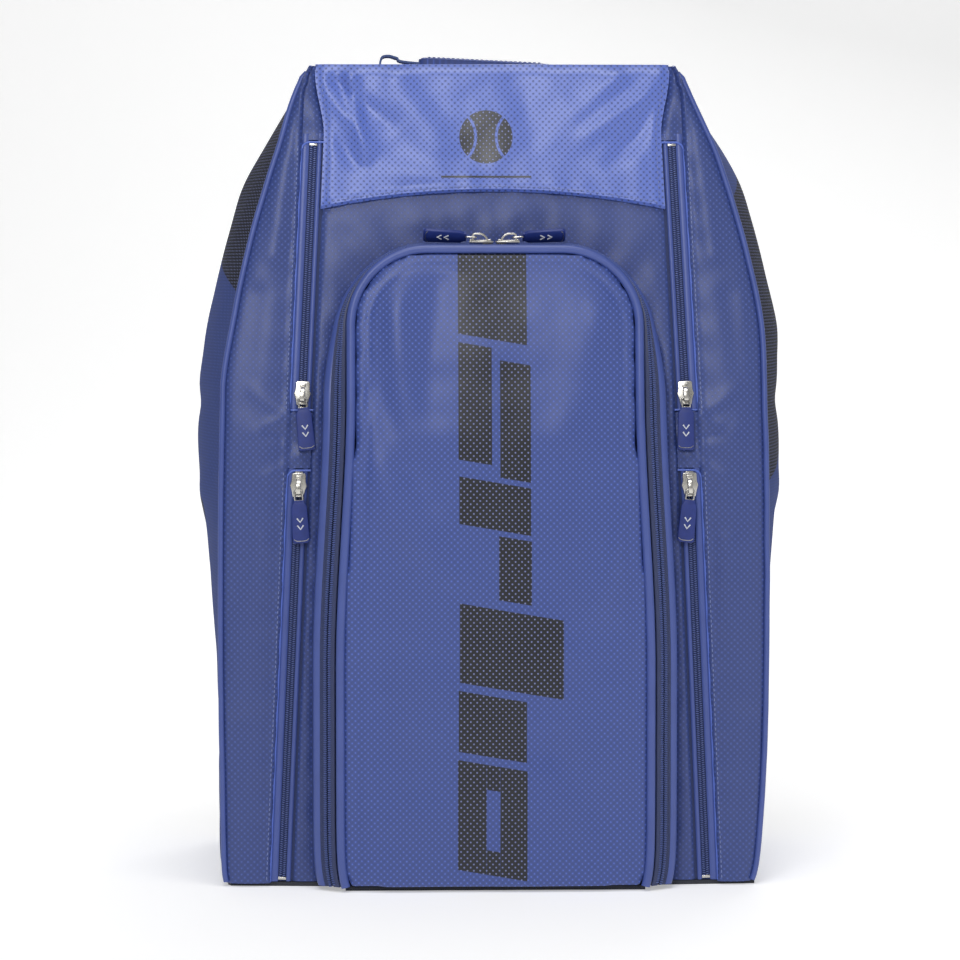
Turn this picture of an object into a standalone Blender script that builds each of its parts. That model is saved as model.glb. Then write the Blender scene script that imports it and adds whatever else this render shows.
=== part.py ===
"""Upright racket tournament bag: a sewn shell of separate panels with a front flap on a U-shaped zip,
two racket compartments with two zips each, a top carry handle and two shoulder straps.

Metres, +Z up, the front faces -Y, and the origin is the middle of the base.
"""

import math

import bmesh
import bpy
from mathutils import Matrix, Vector

# ---- driving dimensions ----
TOP_Z = 0.5945  # top edge of the shell
BASE_Z = 0.0035  # lower edge of the standing panels, just above the base
FRONT_Y = -0.130  # lower front plane
BACK_Y = 0.130
LEAN = 0.176  # backward slope of the upper front, as a tangent
CREASE_Z = 0.325  # height where the front starts to lean back
CREASE_SOFTNESS = 0.025
MIDDLE_HALF = 0.197  # half width of the front at its widest stretch
SHOULDER_Z = 0.360  # the sides draw in above this height
SHOULDER_RISE = 0.216
SHOULDER_DRAW = 0.052
SHOULDER_POWER = 1.65
CORNER_R = 0.012  # rounding between the sides and the top
CORNER_X = 0.1295
SIDE_BULGE = 0.020  # how far a side swells at mid depth
BACK_NARROWER = 0.004
CLOTH = 0.0018
GAP = 0.0004
SEAM = 0.003  # distance from a panel's edge to the corner seam it runs along
PIPING_R = 0.0021

# side zips
ZIP_HALF_AT_BASE = 0.1550
ZIP_SLANT = 0.0440  # the zips draw together by this much per metre of height
ZIP_STRIP_HALF = 0.0080
ZIP_TAPE = 0.0016
ZIP_SLOT_HALF = 0.0013
ZIP_END = 0.002
LOWER_ZIP = (BASE_Z, 0.3035)
UPPER_ZIP = (0.346, 0.542)
LOWER_SLIDER_Z = 0.2925
UPPER_SLIDER_Z = 0.3585
YOKE_FLARE = 0.0085  # the yoke's sides spread by this much above the upper zips
YOKE_SEAM_Z = 0.506
YOKE_SEAM_DROP = 0.012

# front flap and its U-shaped zip
FLAP_TOP = 0.4635  # height of the flap piping's centre line
FLAP_CORNER_R = 0.055
FLAP_HALF = 0.104
FLAP_SPREAD = 0.008  # the flap is this much wider on each side low down
FLAP_PROUD = 0.032  # the flap piping stands this far in front of the body
FLAP_PIPING_R = 0.0033
FLAP_THICK = 0.011
FLAP_CROWN = 0.008
ZIP_OFFSET = 0.0100  # from the piping's centre to the middle of the U-shaped zip
ZIP_RAISE = 0.0025
FIXED_REACH = 0.0130
FLAP_REACH = 0.0062
SIDE_TILT = math.radians(41)  # how far the zip turns outwards on the legs of the U
TOP_TILT = math.radians(90)
TILT_FULL_Z = 0.462
TILT_LOW_Z = 0.350
LEG_ROWS = (BASE_Z, 0.03, 0.09, 0.15, 0.21, 0.27, 0.32, 0.36, 0.385)
CORNER_STEPS = 8
FLAP_HINGE = Vector((0, -0.170, 0.007))

# sliders and pulls
SLIDER_HALF_W = 0.0062
SLIDER_HALF_L = 0.00875
SLIDER_TOP = 0.0034
SLIDER_BOTTOM = -0.0030
SLIDER_POST_HALF = 0.0008
SLIDER_CHANNEL_HALF = 0.0013
BAIL_HALF_W = 0.0015
PULL_HINGE = (-0.0039, 0.0059)  # along the slider and above the tape
LINK_WIRE_R = 0.0007
LINK_HALF_W = 0.0029
LINK_LENGTH = 0.0074
TAB_START = 0.0084
TAB_LENGTH = 0.0298
TAB_HALF_W = 0.00625
TAB_HALF_T = 0.0013
POCKET_SLIDER_X = 0.0095
POCKET_PULL_TWIST = math.radians(42)

# handle, back and inside
TOP_DIP = 0.006
HANDLE_Y = 0.005
HANDLE_LEFT_X = -0.0815
HANDLE_RIGHT_X = 0.0735
GRIP_X = (-0.0525, 0.0480)
GRIP_Z = (0.6035, 0.5985)
GRIP_HALF_W = 0.0155
GRIP_HALF_T = 0.0050
WEBBING_T = 0.0016
DIVIDER_X = 0.119
STRAP_HINGE = (0.146, 0.558)
STRAP_LOW_Z = 0.205
STRAP_HALF_W = 0.0275
STRAP_T = 0.009
STRAP_TOP_X = 0.048
STRAP_LOW_X = 0.088
STRAP_BOW = 0.014
PAD_X = (0.018, 0.128)
PAD_Z = (0.110, 0.500)
PAD_T = 0.0028
PAD_CROWN = 0.004
LOCK_HALF_W = 0.017
LOCK_LENGTH = 0.034
LOCK_SLOT_HALF_W = 0.013
LOCK_T = 0.0036
STRAP_WEBBING_HALF_W = 0.0125
ANCHOR_X = 0.128
ANCHOR_HEIGHT = 0.026
ANCHOR_Z = 0.022
ANCHOR_T = 0.003
PATCH_HALF_X = 0.085
PATCH_Z = (0.5540, 0.5800)
BACK_T = 0.005
BASE_T = 0.003
DIVIDER_T = 0.0025
BOARD_Z = (0.0034, 0.0060)
PANEL_TOP_Z = 0.5745
YOKE_TOP_Z = 0.5915

BLUE = (0.086, 0.124, 0.337)
DARK_BLUE = (0.036, 0.058, 0.190)
FINISHES = {
    "shell": (BLUE, 0.45, 0.0),
    "trim": (BLUE, 0.40, 0.0),
    "tape": (DARK_BLUE, 0.75, 0.0),
    "metal": ((0.62, 0.60, 0.56), 0.25, 1.0),
    "pull": ((0.022, 0.036, 0.180), 0.50, 0.0),
    "webbing": (DARK_BLUE, 0.80, 0.0),
    "lining": ((0.020, 0.022, 0.030), 0.90, 0.0),
    "mesh": ((0.015, 0.017, 0.024), 0.90, 0.0),
    "plastic": ((0.012, 0.013, 0.018), 0.40, 0.0),
}


# ---- the shape of the shell ----
def clamp(value):
    return min(1.0, max(0.0, value))


def smooth(value):
    value = clamp(value)
    return value * value * (3 - 2 * value)


def front_y(z):
    """The front stands upright low down and leans back above a soft crease."""
    rise = z - CREASE_Z
    return FRONT_Y + LEAN * (rise + math.hypot(rise, CREASE_SOFTNESS)) / 2


def body_half(z):
    """Half width of the front outline."""
    corner_z = TOP_Z - CORNER_R
    if z > corner_z:
        return CORNER_X + math.sqrt(max(0.0, CORNER_R**2 - (z - corner_z) ** 2))
    half = MIDDLE_HALF + 0.002 * math.sin(math.pi * clamp(z / SHOULDER_Z))
    half -= 0.006 * math.exp(-z / 0.06) + 0.004 * math.exp(-z / 0.008)
    if z > SHOULDER_Z:
        half -= SHOULDER_DRAW * ((z - SHOULDER_Z) / SHOULDER_RISE) ** SHOULDER_POWER
    return half


def bulge(z):
    """How far a side swells out at mid depth: little at the base, most at mid height."""
    low = 0.35 + 0.65 * smooth((z - 0.15) / 0.18)
    return SIDE_BULGE * low * (1 - smooth((z - 0.44) / 0.16))


def zip_x(z):
    return ZIP_HALF_AT_BASE - ZIP_SLANT * z


def centre_edge(z):
    """Half width of the middle panels, up to the side zips and the yoke's flared sides."""
    return zip_x(z) - ZIP_STRIP_HALF - GAP + YOKE_FLARE * smooth((z - 0.545) / 0.05)


def yoke_seam_z(x):
    return YOKE_SEAM_Z - YOKE_SEAM_DROP * (x / 0.122) ** 2


def steps(start, end, count):
    return [start + (end - start) * i / count for i in range(count + 1)]


# ---- building blocks ----
def clear_scene():
    for obj in list(bpy.data.objects):
        bpy.data.objects.remove(obj, do_unlink=True)
    for holder in list(bpy.data.collections):
        bpy.data.collections.remove(holder)
    for name in ("racket_bag", "cutters"):
        bpy.context.scene.collection.children.link(bpy.data.collections.new(name))


def finish(obj, kind):
    """Gives an object its own material."""
    colour, roughness, metallic = FINISHES[kind]
    material = bpy.data.materials.new(obj.name + "_" + kind)
    material.use_nodes = True
    shader = material.node_tree.nodes["Principled BSDF"]
    shader.inputs["Base Color"].default_value = (*colour, 1.0)
    shader.inputs["Roughness"].default_value = roughness
    shader.inputs["Metallic"].default_value = metallic
    obj.data = obj.data.copy() if obj.data.users > 1 else obj.data
    obj.data.materials.clear()
    obj.data.materials.append(material)


def add_object(name, data, kind, matrix=None):
    obj = bpy.data.objects.new(name, data)
    bpy.data.collections["racket_bag"].objects.link(obj)
    if matrix is not None:
        obj.matrix_world = matrix
    finish(obj, kind)
    return obj


def sheet(name, columns, rows, place, kind, thickness=CLOTH, offset=-1.0, removed=None):
    """A cloth panel: a grid that `place` sets in space, with a wall from Solidify.

    `removed` says which cells, by column and row, are left open.
    """
    bm = bmesh.new()
    across = len(columns) - 1
    up = len(rows) - 1
    bmesh.ops.create_grid(bm, x_segments=across, y_segments=up, size=1.0)
    if removed:
        open_cells = []
        for face in bm.faces:
            middle = face.calc_center_median()
            column = int((middle.x + 1) / 2 * across)
            row = int((middle.y + 1) / 2 * up)
            if removed(column, row):
                open_cells.append(face)
        bmesh.ops.delete(bm, geom=open_cells, context="FACES")
    for vert in bm.verts:
        column = round((vert.co.x + 1) / 2 * across)
        row = round((vert.co.y + 1) / 2 * up)
        vert.co = place(columns[column], rows[row])
    mesh = bpy.data.meshes.new(name)
    bm.to_mesh(mesh)
    bm.free()
    obj = add_object(name, mesh, kind)
    wall = obj.modifiers.new("wall", "SOLIDIFY")
    wall.thickness = thickness
    wall.offset = offset
    return obj


def tube(name, points, radius, kind, closed=False, sides=2):
    """A round cord, piping or wire along the points."""
    curve = bpy.data.curves.new(name, "CURVE")
    curve.dimensions = "3D"
    curve.bevel_depth = radius
    curve.bevel_resolution = sides
    curve.use_fill_caps = True
    spline = curve.splines.new("POLY")
    spline.points.add(len(points) - 1)
    for point, position in zip(spline.points, points):
        point.co = (*position, 1.0)
    spline.use_cyclic_u = closed
    return add_object(name, curve, kind)


def rounded_rectangle(half_w, low, high, radius, steps_per_corner=3):
    """Outline with round corners, anticlockwise, between two heights."""
    outline = []
    centres = (
        (half_w - radius, low + radius, -90),
        (half_w - radius, high - radius, 0),
        (-half_w + radius, high - radius, 90),
        (-half_w + radius, low + radius, 180),
    )
    for x, y, start in centres:
        for angle in steps(start, start + 90, steps_per_corner):
            turn = math.radians(angle)
            outline.append((x + radius * math.cos(turn), y + radius * math.sin(turn)))
    return outline


def plate_curve(name, outlines, thickness):
    """A flat plate: the first outline, with the others as holes in it."""
    curve = bpy.data.curves.new(name, "CURVE")
    curve.dimensions = "2D"
    curve.fill_mode = "BOTH"
    curve.extrude = thickness / 2
    for outline in outlines:
        spline = curve.splines.new("POLY")
        spline.points.add(len(outline) - 1)
        for point, (x, y) in zip(spline.points, outline):
            point.co = (x, y, 0.0, 1.0)
        spline.use_cyclic_u = True
    return curve


def evaluated_mesh(obj):
    """The object's mesh with its modifiers applied and its loose caps welded, in world space."""
    bpy.context.view_layer.update()
    graph = bpy.context.evaluated_depsgraph_get()
    mesh = bpy.data.meshes.new_from_object(obj.evaluated_get(graph))
    bm = bmesh.new()
    bm.from_mesh(mesh)
    bmesh.ops.remove_doubles(bm, verts=bm.verts, dist=1e-6)
    bmesh.ops.transform(bm, matrix=obj.matrix_world, verts=bm.verts)
    bm.to_mesh(mesh)
    bm.free()
    mesh.materials.clear()
    return mesh


def cutter(name, data, matrix=None):
    """A shape that only cuts or joins."""
    obj = bpy.data.objects.new(name, data)
    bpy.data.collections["cutters"].objects.link(obj)
    if matrix is not None:
        obj.matrix_world = matrix
    obj.hide_render = True
    obj.display_type = "WIRE"
    return obj


def box_mesh(low, high):
    bm = bmesh.new()
    bmesh.ops.create_cube(bm, size=1.0)
    low = Vector(low)
    size = Vector(high) - low
    for vert in bm.verts:
        vert.co = low + Vector((vert.co[i] + 0.5) * size[i] for i in range(3))
    mesh = bpy.data.meshes.new("box")
    bm.to_mesh(mesh)
    bm.free()
    return mesh


def combine(obj, other, operation):
    modifier = obj.modifiers.new(operation.lower(), "BOOLEAN")
    modifier.operation = operation
    modifier.object = other


def frame_matrix(across, along, outward, origin):
    """The placing of a piece whose x, y and z axes lie along the three directions."""
    turn = Matrix((across, along, outward)).transposed().to_4x4()
    return Matrix.Translation(origin) @ turn


def pivot(name, matrix, parent=None):
    """An empty on a joint's axis."""
    empty = bpy.data.objects.new(name, None)
    empty.empty_display_size = 0.02
    bpy.data.collections["racket_bag"].objects.link(empty)
    if parent:
        empty.parent = parent
        bpy.context.view_layer.update()
        empty.matrix_parent_inverse = parent.matrix_world.inverted()
    empty.matrix_world = matrix
    return empty


def hang_on(obj, parent):
    """Parents an object and leaves it where it is."""
    bpy.context.view_layer.update()
    kept = obj.matrix_world.copy()
    obj.parent = parent
    obj.matrix_parent_inverse = parent.matrix_world.inverted()
    obj.matrix_world = kept


# ---- shell panels ----
def shell_rows(top, extra=()):
    rows = [BASE_Z, 0.03, 0.10, 0.18, 0.25, 0.30, 0.325, 0.36, 0.41, 0.46, 0.505, 0.54, 0.56, top]
    return sorted(set(row for row in rows if row <= top) | set(extra))


def make_side_panel(name, side):
    def place(depth, z):
        half = body_half(z) - BACK_NARROWER * depth + bulge(z) * math.sin(math.pi * depth)
        near = front_y(z) + SEAM
        return Vector((side * half, near + (BACK_Y - SEAM - near) * depth, z))

    depths = steps(0, 1, 8) if side > 0 else steps(1, 0, 8)
    sheet(name, depths, shell_rows(PANEL_TOP_Z), place, "shell")


def make_front_side_panel(name, side):
    """The panel between a side zip and the outer seam, with a bridge of cloth between the zips."""
    bridge = (LOWER_ZIP[1] + 2 * GAP, UPPER_ZIP[0] - 2 * GAP)
    above = UPPER_ZIP[1] + 2 * GAP
    rows = [row for row in shell_rows(PANEL_TOP_Z) if not bridge[0] < row < bridge[1]]
    rows = sorted(set(rows) | set(bridge) | {above, 0.325, 0.5905})

    def place(column, z):
        inner = centre_edge(z) + GAP
        outer = body_half(z) - SEAM
        zip_side = min(zip_x(z) + ZIP_STRIP_HALF + GAP, inner + (outer - inner) * 0.65)
        if column == 0:
            x = inner
        else:
            x = zip_side + (outer - zip_side) * (column - 1) / 3
        return Vector((side * x, front_y(z), z))

    def removed(column, row):
        beside_zip = column == (0 if side > 0 else 3)
        middle = (rows[row] + rows[row + 1]) / 2
        return beside_zip and not (bridge[0] < middle < bridge[1] or middle > above)

    columns = [0, 1, 2, 3, 4] if side > 0 else [4, 3, 2, 1, 0]
    sheet(name, columns, rows, place, "shell", removed=removed)


def make_yoke():
    def place(across, height):
        z = YOKE_TOP_Z
        for _ in range(2):
            x = across * (centre_edge(z) - 2 * GAP)
            low = yoke_seam_z(x) + GAP
            z = low + (YOKE_TOP_Z - low) * height
        return Vector((x, front_y(z), z))

    sheet("yoke_panel", steps(-1, 1, 8), steps(0, 1, 6), place, "shell")


def make_back():
    def place(across, z):
        return Vector((across * (body_half(z) - BACK_NARROWER - SEAM), BACK_Y, z))

    rows = shell_rows(PANEL_TOP_Z, (0.585, 0.592))
    sheet("back_panel", steps(1, -1, 4), rows, place, "lining", thickness=BACK_T)


def make_base():
    """The base, with a tongue under the front flap."""
    rows = [-0.1555, -0.147, FRONT_Y + SEAM, 0, BACK_Y - SEAM]

    def place(column, y):
        tongue = 0.108 if y < -0.15 else 0.1235
        x = {0: 0.0, 1: tongue, 2: body_half(0.003) - 0.001}[abs(column)]
        return Vector((math.copysign(x, column), y, 0.003))

    def removed(column, row):
        return column in (0, 3) and row < 2

    sheet("base_panel", [-2, -1, 0, 1, 2], rows, place, "lining", thickness=BASE_T, removed=removed)


def top_outline():
    """Half of the top's cross section, from the middle out and down to the side."""
    corner_z = TOP_Z - CORNER_R
    outline = [(x, TOP_Z) for x in steps(0, CORNER_X, 4)[:-1]]
    for angle in steps(90, 0, 3):
        turn = math.radians(angle)
        outline.append((CORNER_X + CORNER_R * math.cos(turn), corner_z + CORNER_R * math.sin(turn)))
    outline.append((body_half(0.577), 0.577))
    return outline


def make_top():
    half = top_outline()

    def place(index, depth):
        x, z = half[abs(index)]
        spread = bulge(z) * math.sin(math.pi * depth) if z < 0.59 else 0.0
        dip = TOP_DIP * math.sin(math.pi * depth) * (1 - clamp(x / 0.125) ** 12)
        near = front_y(z) + SEAM
        x = x - BACK_NARROWER * depth * x / CORNER_X + spread
        return Vector((math.copysign(x, index), near + (BACK_Y - 2 * SEAM - near) * depth, z - dip))

    last = len(half) - 1
    sheet("top_panel", list(range(-last, last + 1)), steps(0, 1, 6), place, "shell")


def make_corner_piping(name, side, back):
    points = []
    for z in steps(BASE_Z, 0.588, 30):
        half = body_half(z) - (BACK_NARROWER if back else 0.0)
        points.append((side * half, BACK_Y if back else front_y(z), z))
    tube(name, points, PIPING_R, "trim")


# ---- the U-shaped zip ----
def flap_half(z):
    wide = smooth((0.36 - z) / 0.20)
    return FLAP_HALF + FLAP_SPREAD * wide - 0.005 * math.exp(-z / 0.012)


def flap_path():
    """Points and outward normals of the flap's edge, from the lower left up, over and down."""
    corner_z = FLAP_TOP - FLAP_CORNER_R
    corner_x = FLAP_HALF - FLAP_CORNER_R
    half = []
    for z in LEG_ROWS:
        half.append((flap_half(z), z, 0.0))
    for angle in steps(0, 90, CORNER_STEPS):
        turn = math.radians(angle)
        x = corner_x + FLAP_CORNER_R * math.cos(turn)
        half.append((x, corner_z + FLAP_CORNER_R * math.sin(turn), turn))
    half.append((corner_x / 2, FLAP_TOP, math.pi / 2))
    path = []
    for x, z, turn in half:
        path.append((Vector((-x, 0, z)), Vector((-math.cos(turn), 0, math.sin(turn)))))
    path.append((Vector((0, 0, FLAP_TOP)), Vector((0, 0, 1))))
    for x, z, turn in reversed(half):
        path.append((Vector((x, 0, z)), Vector((math.cos(turn), 0, math.sin(turn)))))
    return path


def zip_tilt(z):
    turned = smooth((z - TILT_LOW_Z) / (TILT_FULL_Z - TILT_LOW_Z))
    return SIDE_TILT + (TOP_TILT - SIDE_TILT) * turned


def edge_point(station):
    """A point of the flap piping's centre line."""
    point, _ = station
    return Vector((point.x, front_y(point.z) - FLAP_PROUD, point.z))


def tape_point(station, reach):
    """A point of the zip's tape, `reach` metres out from the middle of its teeth."""
    point, normal = station
    tilt = zip_tilt(point.z)
    backward = Vector((0, 1, 0))
    outward = normal * math.cos(tilt) + backward * math.sin(tilt)
    raised = normal * math.sin(tilt) - backward * math.cos(tilt)
    return edge_point(station) + outward * (ZIP_OFFSET + reach) + raised * ZIP_RAISE


def body_point(station, more=0.0):
    """Where the pocket's wall meets the body, `more` metres further out."""
    edge = tape_point(station, FIXED_REACH) + station[1] * more
    return Vector((edge.x, front_y(edge.z), edge.z))


def make_pocket():
    path = flap_path()
    indices = list(range(len(path)))
    sheet(
        "pocket_zip_bag_tape",
        [FIXED_REACH, ZIP_SLOT_HALF],
        indices,
        lambda reach, i: tape_point(path[i], reach),
        "tape",
        thickness=ZIP_TAPE,
        offset=0,
    )
    sheet(
        "pocket_zip_flap_tape",
        [-ZIP_SLOT_HALF, -FLAP_REACH],
        indices,
        lambda reach, i: tape_point(path[i], reach),
        "tape",
        thickness=ZIP_TAPE,
        offset=0,
    )

    def gusset_place(column, i):
        near_tape = tape_point(path[i], FIXED_REACH)
        near_body = body_point(path[i]) + Vector((0, 0.0015, 0))
        along = near_body - near_tape
        return near_tape + along * (1.5 * GAP / along.length + column * (1 - 1.5 * GAP / along.length))

    sheet("pocket_gusset", [1, 0], indices, gusset_place, "shell", thickness=ZIP_TAPE, offset=0)
    tube("flap_piping", [edge_point(station) for station in path], FLAP_PIPING_R, "trim")

    def front_place(column, i):
        inner = body_point(path[i], ZIP_TAPE / 2 + GAP)
        _, normal = path[i]
        side = math.copysign(1, inner.x)
        if normal.z < 0.01:
            outer = Vector((side * centre_edge(inner.z), 0, inner.z))
        else:
            turn = math.atan2(normal.z, abs(normal.x))
            share = turn / (math.pi / 2)
            corner = centre_edge(0.494)
            first = len(LEG_ROWS)
            start_z = body_point(path[first]).z
            corner_z = yoke_seam_z(corner) - GAP
            if share < 0.5:
                z = start_z + (corner_z - start_z) * share / 0.5
                outer = Vector((side * centre_edge(z), 0, z))
            else:
                straight = abs(body_point(path[first + CORNER_STEPS]).x)
                x = corner + (min(abs(inner.x), straight) - corner) * (share - 0.5) / 0.5
                outer = Vector((side * x, 0, yoke_seam_z(x) - GAP))
        point = inner.lerp(outer, column)
        return Vector((point.x, front_y(point.z), point.z))

    sheet("centre_front_panel", [1, 0.5, 0], indices, front_place, "shell")


def make_flap_panel():
    top = FLAP_TOP - FLAP_PIPING_R - GAP
    corner_z = FLAP_TOP - FLAP_CORNER_R
    inset = FLAP_PIPING_R + GAP
    inner_r = FLAP_CORNER_R - inset
    rows = [BASE_Z, 0.03, 0.09, 0.16, 0.24, 0.31, 0.36]
    rows += [corner_z + inner_r * math.sin(math.radians(angle)) for angle in steps(0, 90, 5)]

    def place(across, z):
        if z > corner_z:
            rise = min(inner_r, z - corner_z)
            half = FLAP_HALF - FLAP_CORNER_R + math.sqrt(inner_r**2 - rise**2)
        else:
            half = flap_half(z) - inset
        low = clamp((z - BASE_Z) / 0.05)
        high = clamp((top - z) / 0.05)
        crown = FLAP_CROWN * (1 - across**4) * math.sin(math.pi / 2 * min(low, high))
        return Vector((across * half, front_y(z) - FLAP_PROUD - 0.003 - crown, z))

    sheet("flap_panel", steps(-1, 1, 8), rows, place, "shell", thickness=FLAP_THICK)


# ---- side zips ----
def zip_frame(side, span):
    """Origin at the zip's lower end, with unit directions across, along and outward."""
    ends = []
    for z in span:
        ends.append(Vector((side * zip_x(z), front_y(z) + CLOTH / 2, z)))
    along = (ends[1] - ends[0]).normalized()
    outward = Vector((0, -1, 0))
    outward = (outward - along * outward.dot(along)).normalized()
    return ends[0], along.cross(outward), along, outward, (ends[1] - ends[0]).length


def make_side_zip(name, side, span):
    start, across, along, outward, length = zip_frame(side, span)
    columns = [-ZIP_STRIP_HALF, -ZIP_SLOT_HALF, ZIP_SLOT_HALF, ZIP_STRIP_HALF]
    rows = [0, ZIP_END, length - ZIP_END, length]

    def removed(column, row):
        return column == 1 and row == 1

    sheet(
        name,
        columns,
        rows,
        lambda x, y: start + across * x + along * y,
        "tape",
        thickness=ZIP_TAPE,
        offset=0,
        removed=removed,
    )


# ---- sliders and pulls ----
def slider_mesh():
    """A zip slider: a body with a channel on each side for the tape, and a bail over its top."""
    point = 0.0035
    outline = [
        (SLIDER_HALF_W, -SLIDER_HALF_L + point),
        (SLIDER_HALF_W, SLIDER_HALF_L - point),
        (SLIDER_HALF_W / 2, SLIDER_HALF_L),
        (-SLIDER_HALF_W / 2, SLIDER_HALF_L),
        (-SLIDER_HALF_W, SLIDER_HALF_L - point),
        (-SLIDER_HALF_W, -SLIDER_HALF_L + point),
        (-SLIDER_HALF_W / 2, -SLIDER_HALF_L),
        (SLIDER_HALF_W / 2, -SLIDER_HALF_L),
    ]
    middle = (SLIDER_TOP + SLIDER_BOTTOM) / 2
    body_curve = plate_curve("slider_body", [outline], SLIDER_TOP - SLIDER_BOTTOM)
    raw = cutter("slider_body_curve", body_curve, Matrix.Translation((0, 0, middle)))
    body = cutter("slider_body", evaluated_mesh(raw))
    bpy.data.objects.remove(raw, do_unlink=True)

    arch = [(-0.0068, 0.0028), (0.0050, 0.0028), (0.0046, 0.0050), (0.0026, 0.0078)]
    arch += [(-0.0004, 0.0092), (-0.0050, 0.0092), (-0.0068, 0.0074)]
    hole = [(-0.0054, 0.0040), (0.0034, 0.0040), (0.0030, 0.0052), (0.0016, 0.0068)]
    hole += [(-0.0008, 0.0078), (-0.0046, 0.0078), (-0.0054, 0.0068)]
    bail_curve = plate_curve("slider_bail", [arch, hole], 2 * BAIL_HALF_W)
    stand = frame_matrix(Vector((0, 1, 0)), Vector((0, 0, 1)), Vector((1, 0, 0)), Vector())
    raw = cutter("slider_bail_curve", bail_curve, stand)
    bail = cutter("slider_bail", evaluated_mesh(raw))
    bpy.data.objects.remove(raw, do_unlink=True)

    for side in (-1, 1):
        far = side * 2 * SLIDER_HALF_W
        near = side * SLIDER_POST_HALF
        low = (min(near, far), -2 * SLIDER_HALF_L, -SLIDER_CHANNEL_HALF)
        high = (max(near, far), 2 * SLIDER_HALF_L, SLIDER_CHANNEL_HALF)
        combine(body, cutter("slider_channel", box_mesh(low, high)), "DIFFERENCE")
    combine(body, bail, "UNION")
    return evaluated_mesh(body)


def make_slider(name, mesh, matrix, tilt, yaw, twist=0.0):
    """A slider with its pull: a wire link through the bail and a rubber tab.

    `tilt` lifts the pull off the tape, `yaw` turns it sideways and `twist` rolls its tab.
    """
    slider = add_object(name + "_slider", mesh, "metal", matrix)
    place = matrix @ Matrix.Translation((0, PULL_HINGE[0], PULL_HINGE[1]))
    place = place @ Matrix.Rotation(yaw, 4, "Z") @ Matrix.Rotation(-tilt, 4, "X")
    empty = pivot(name + "_pull_pivot", place, slider)

    ring = rounded_rectangle(LINK_HALF_W, -LINK_LENGTH, 0.0, 0.0012, 2)
    link = tube(name + "_pull_link", [(x, y, 0.0) for x, y in ring], LINK_WIRE_R, "metal", True, 1)
    link.matrix_world = place
    hang_on(link, empty)

    outline = rounded_rectangle(TAB_HALF_W, -TAB_START - TAB_LENGTH, -TAB_START, 0.0030, 3)
    curve = plate_curve(name + "_pull_tab", [outline], 2 * TAB_HALF_T)
    tab = add_object(name + "_pull_tab", curve, "pull", place @ Matrix.Rotation(twist, 4, "Y"))
    hang_on(tab, empty)


def make_side_sliders(mesh):
    poses = {
        "upper_left": (-1, UPPER_ZIP, UPPER_SLIDER_Z, -4, 8),
        "lower_left": (-1, LOWER_ZIP, LOWER_SLIDER_Z, 0, 6),
        "upper_right": (1, UPPER_ZIP, UPPER_SLIDER_Z, -4, -3),
        "lower_right": (1, LOWER_ZIP, LOWER_SLIDER_Z, 0, -8),
    }
    for name, (side, span, height, tilt, yaw) in poses.items():
        start, across, along, outward, _ = zip_frame(side, span)
        origin = start + along * (height - start.z) / along.z
        matrix = frame_matrix(across, along, outward, origin)
        make_slider(name, mesh, matrix, math.radians(tilt), math.radians(yaw))


def make_pocket_sliders(mesh):
    for name, side in (("pocket_left", -1), ("pocket_right", 1)):
        station = (Vector((side * POCKET_SLIDER_X, 0, FLAP_TOP)), Vector((0, 0, 1)))
        origin = tape_point(station, 0.0)
        along = Vector((-side, 0, 0))
        outward = Vector((0, 0, 1))
        matrix = frame_matrix(along.cross(outward), along, outward, origin)
        make_slider(name, mesh, matrix, math.radians(2.5), 0.0, side * POCKET_PULL_TWIST)


# ---- carry handle ----
def make_handle():
    """A webbing loop through a padded grip, lying low on the top."""
    surface = TOP_Z - TOP_DIP + 0.0015
    slope = (GRIP_Z[1] - GRIP_Z[0]) / (GRIP_X[1] - GRIP_X[0])

    def grip_z(x):
        return GRIP_Z[0] + slope * (x - GRIP_X[0])

    foot = surface + 0.0036
    path = [
        (HANDLE_LEFT_X - 0.006, foot),
        (HANDLE_LEFT_X - 0.001, foot + 0.007),
        (HANDLE_LEFT_X + 0.001, foot + 0.014),
        (HANDLE_LEFT_X + 0.006, 0.6090),
        (HANDLE_LEFT_X + 0.012, 0.6075),
        (GRIP_X[0] - 0.002, grip_z(GRIP_X[0] - 0.002)),
        (GRIP_X[1] + 0.002, grip_z(GRIP_X[1] + 0.002)),
        (HANDLE_RIGHT_X - 0.010, 0.5966),
        (HANDLE_RIGHT_X - 0.003, 0.5950),
        (HANDLE_RIGHT_X + 0.006, foot),
    ]
    sheet(
        "handle_webbing",
        [-0.012, 0.012],
        list(range(len(path))),
        lambda y, i: Vector((path[i][0], HANDLE_Y + y, path[i][1])),
        "webbing",
        thickness=WEBBING_T,
        offset=0,
    )
    for name, x in (("handle_patch_left", HANDLE_LEFT_X), ("handle_patch_right", HANDLE_RIGHT_X)):
        low = (x - 0.014, HANDLE_Y - 0.016, surface)
        high = (x + 0.014, HANDLE_Y + 0.016, surface + 0.0020)
        add_object(name, box_mesh(low, high), "trim")
    outer = rounded_rectangle(GRIP_HALF_W, -GRIP_HALF_T, GRIP_HALF_T, 0.0045)
    slot = WEBBING_T / 2 + GAP
    inner = [(-0.0125, -slot), (0.0125, -slot), (0.0125, slot), (-0.0125, slot)]
    curve = plate_curve("handle_grip", [outer, inner], GRIP_X[1] - GRIP_X[0])
    along = Vector((1, 0, slope)).normalized()
    across = Vector((0, 1, 0))
    middle = Vector((sum(GRIP_X) / 2, HANDLE_Y, sum(GRIP_Z) / 2))
    add_object("handle_grip", curve, "shell", frame_matrix(across, along.cross(across), along, middle))


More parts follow.
